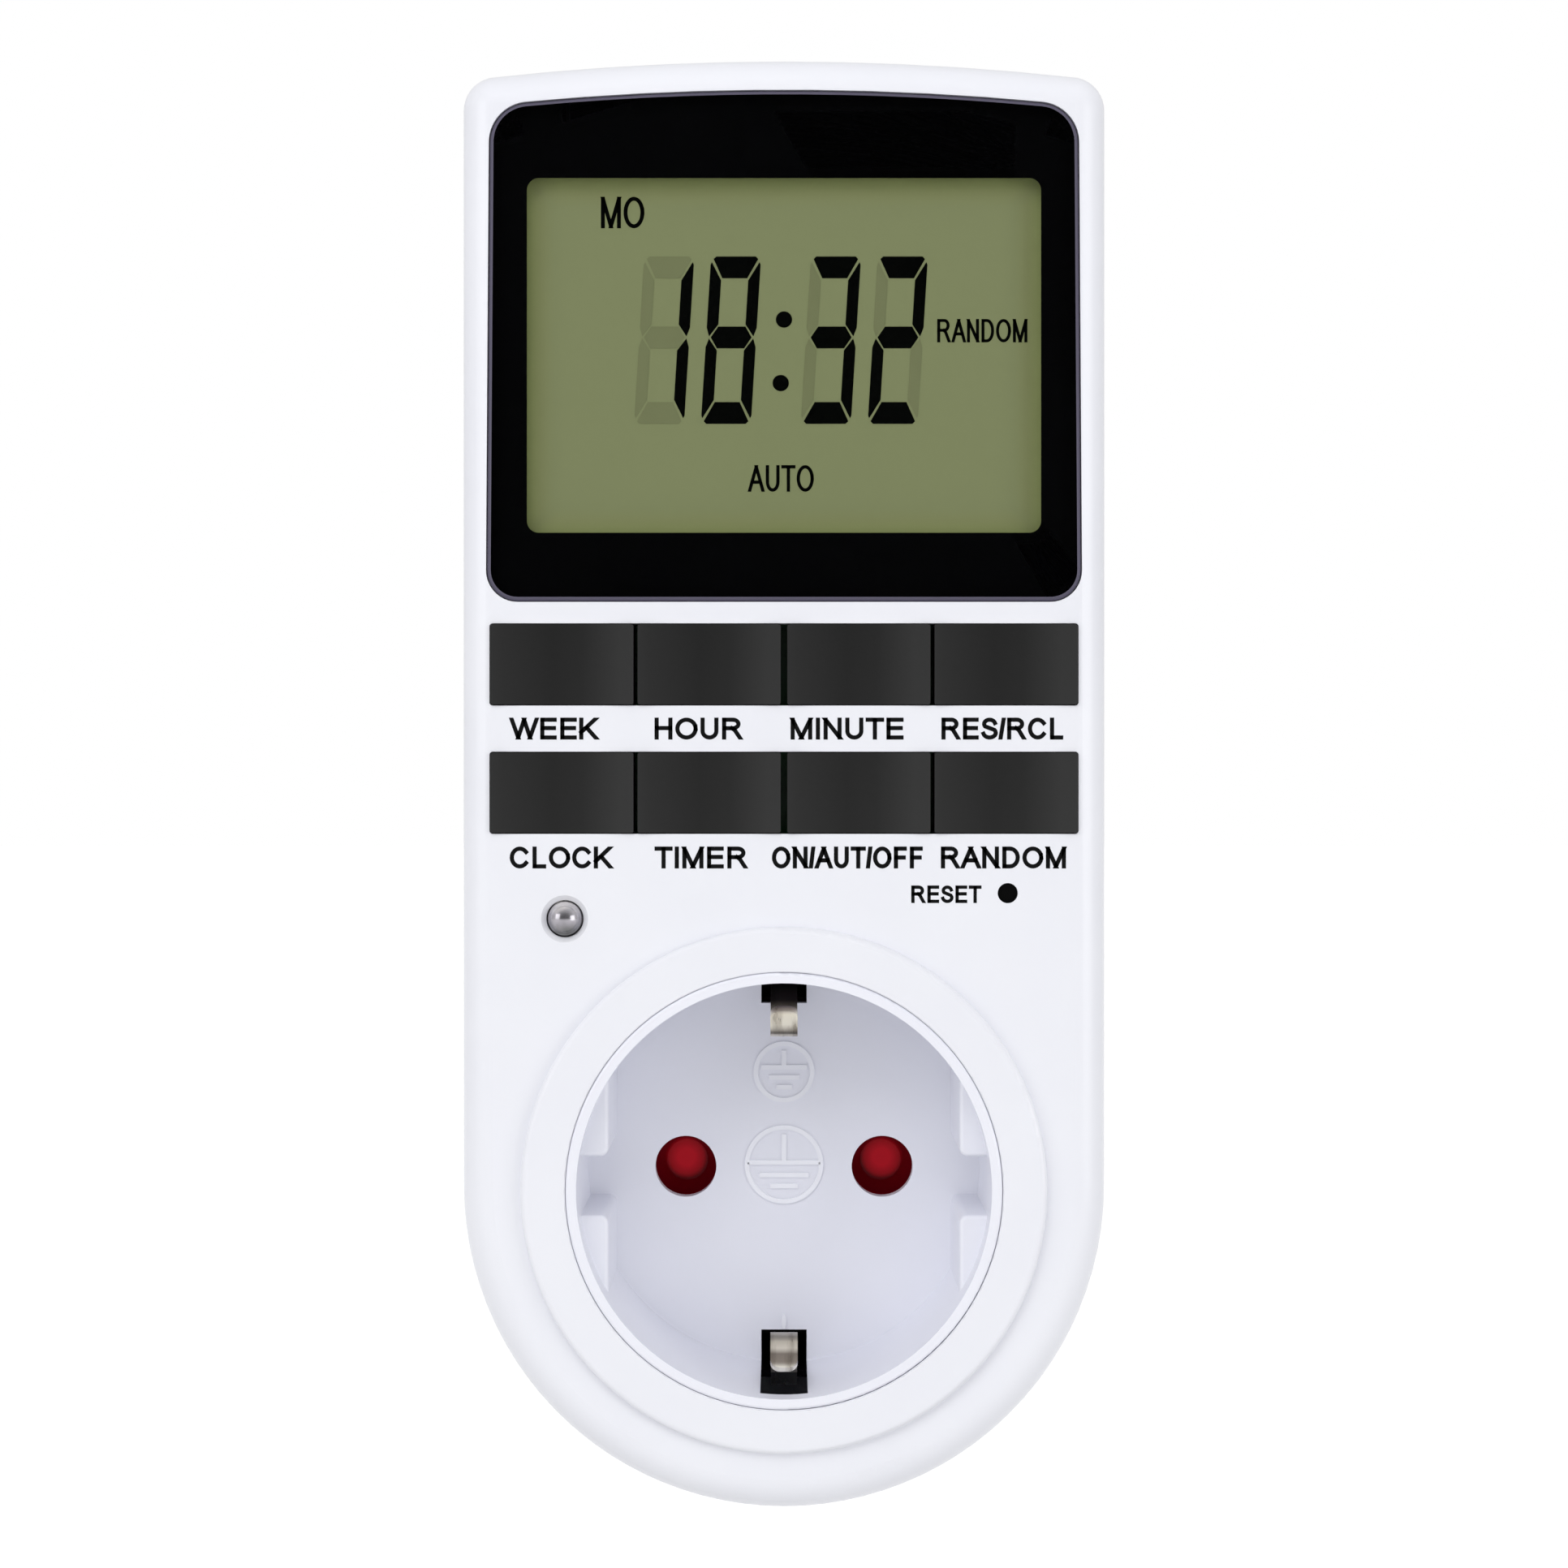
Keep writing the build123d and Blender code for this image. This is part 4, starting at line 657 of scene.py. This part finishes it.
def gate_mark():
    """The upright witness mark that the mould leaves above the lower slot."""
    bm = bmesh.new()
    oval = bmesh.ops.create_circle(bm, cap_ends=True, segments=24, radius=1.0)
    wide, tall = GATE_SHAPE
    shape = Matrix.Diagonal((wide, 1, tall, 1)) @ Matrix.Rotation(pi / 2, 4, "X")
    bmesh.ops.transform(bm, matrix=Matrix.Translation((0, 0, GATE_Z)) @ shape, verts=oval["verts"])
    thicken(bm, floor_y - MARK_RELIEF, 2 * MARK_RELIEF)
    piece_from(bm, "gate_mark", MARK_PAINTED_HIGHLIGHT)


gate_mark()

SEAM_RADIUS = 19.99 * MM
SEAM_WIDTH = 0.08 * MM
SEAM_SINK = 0.12 * MM  # how far the weld lies behind the collar's face


def seam_bead():
    """The weld between the insert and the collar: a pale ring just below the collar's face."""
    bm = bmesh.new()
    for radius in (SEAM_RADIUS - SEAM_WIDTH, SEAM_RADIUS):
        circle = bmesh.ops.create_circle(bm, segments=192, radius=radius)
        bmesh.ops.rotate(bm, verts=circle["verts"], matrix=Matrix.Rotation(pi / 2, 3, "X"))
    bmesh.ops.bridge_loops(bm, edges=bm.edges)
    thicken(bm, ring_y + SEAM_SINK, SEAM_WIDTH)
    piece_from(bm, "seam_bead", WHITE_ABS)


seam_bead()

# ---------------------------------------------------------------- stage, light and camera
FLOOR_DROP = 100 * MM  # the timer hangs on its plug, this far above the floor
FLOOR_REACH = 6.0


def seen_through(tree, path):
    """1 for rays that come straight from the camera or through glass."""
    rays = {0: path["Is Camera Ray"], 1: path["Is Transmission Ray"]}
    return add(tree, "ShaderNodeMath", {"operation": "MAXIMUM"}, rays)


FLOOR_LIFT = 0.62  # light that makes the floor white where it is seen, and lets its shadow show


def pale_floor():
    """Pale floor that shows as white where no shadow lies on it."""
    material, tree = new_material("pale_floor")
    path = add(tree, "ShaderNodeLightPath").outputs
    rays = {0: seen_through(tree, path), 1: path["Is Glossy Ray"]}
    seen = add(tree, "ShaderNodeMath", {"operation": "MAXIMUM"}, rays)
    matt = add(tree, "ShaderNodeBsdfDiffuse", {"Color": linear("#EDEDED")})
    lift = add(tree, "ShaderNodeEmission", {"Strength": FLOOR_LIFT})
    both = add(tree, "ShaderNodeAddShader", {}, {0: matt, 1: lift})
    mix = add(tree, "ShaderNodeMixShader", {}, {0: seen, 1: matt, 2: both})
    add(tree, "ShaderNodeOutputMaterial", {}, {"Surface": mix})
    return material


def stage_floor():
    """A wide floor under the timer."""
    bm = bmesh.new()
    bmesh.ops.create_grid(bm, x_segments=1, y_segments=1, size=FLOOR_REACH)
    bmesh.ops.translate(bm, verts=bm.verts, vec=(0, 0, -FLOOR_DROP))
    mesh = bpy.data.meshes.new("floor")
    bm.to_mesh(mesh)
    bm.free()
    mesh.materials.append(pale_floor())
    floor = bpy.data.objects.new("floor", mesh)
    bpy.context.scene.collection.objects.link(floor)


WORLD_LIGHT = 0.555
MIRRORED_LIGHT = 0.8
MIRRORED_FADE = {"From Min": -0.93, "From Max": -0.35, "To Min": 0.02, "To Max": MIRRORED_LIGHT}


def white_world():
    """White background that lights the timer from all sides. Its reflection is dark behind the camera."""
    world = bpy.data.worlds.new("studio")
    bpy.context.scene.world = world
    world.use_nodes = True
    tree = world.node_tree
    tree.nodes.clear()
    way = add(tree, "ShaderNodeTexCoord").outputs["Generated"]
    axes = add(tree, "ShaderNodeSeparateXYZ", {}, {"Vector": way}).outputs
    mirrored = add(tree, "ShaderNodeMapRange", MIRRORED_FADE, {"Value": axes["Y"]})
    path = add(tree, "ShaderNodeLightPath").outputs
    plain = {"data_type": "FLOAT", "A": WORLD_LIGHT}
    lit = add(tree, "ShaderNodeMix", plain, {"Factor": path["Is Glossy Ray"], "B": mirrored})
    shown = {"data_type": "FLOAT", "B": 1.0}
    strength = add(tree, "ShaderNodeMix", shown, {"Factor": seen_through(tree, path), "A": lit})
    white = {"Color": (1.0, 1.0, 1.0, 1.0)}
    background = add(tree, "ShaderNodeBackground", white, {"Strength": strength})
    add(tree, "ShaderNodeOutputWorld", {}, {"Surface": background})


AIM = Vector((0, -0.03, 0.037))  # middle of the timer, where the lamps point


def softbox(name, place, size, power, mirrored=True):
    """A square area lamp that points at the timer, and shows in reflections or doesn't.

    Its size is in metres and its power in watts."""
    lamp = bpy.data.lights.new(name, "AREA")
    lamp.size = size
    lamp.energy = power
    holder = bpy.data.objects.new(name, lamp)
    bpy.context.scene.collection.objects.link(holder)
    holder.location = place
    holder.visible_glossy = mirrored
    holder.rotation_euler = (AIM - Vector(place)).to_track_quat("-Z", "Y").to_euler()


stage_floor()
white_world()
softbox("overhead", (-0.13, -0.6, 0.56), 0.45, 1.6, mirrored=False)
softbox("left", (-0.7, -0.65, 0.25), 0.5, 1.6)
softbox("right", (0.75, -0.6, 0.1), 0.5, 2.0)

CAMERA_DISTANCE = 265 * MM  # in front of the collar
CAMERA_HEIGHT = 37 * MM
CAMERA_LENS = 67  # millimetres, on a sensor 36 wide
view = bpy.data.cameras.new("camera")
view.lens = CAMERA_LENS
view.sensor_width = 36
view.clip_start = 0.01
camera = bpy.data.objects.new("camera", view)
camera.location = (0, ring_y - CAMERA_DISTANCE, CAMERA_HEIGHT)
camera.rotation_euler = (pi / 2, 0, 0)
bpy.context.scene.collection.objects.link(camera)
bpy.context.scene.camera = camera
bpy.context.scene.view_settings.view_transform = "Standard"
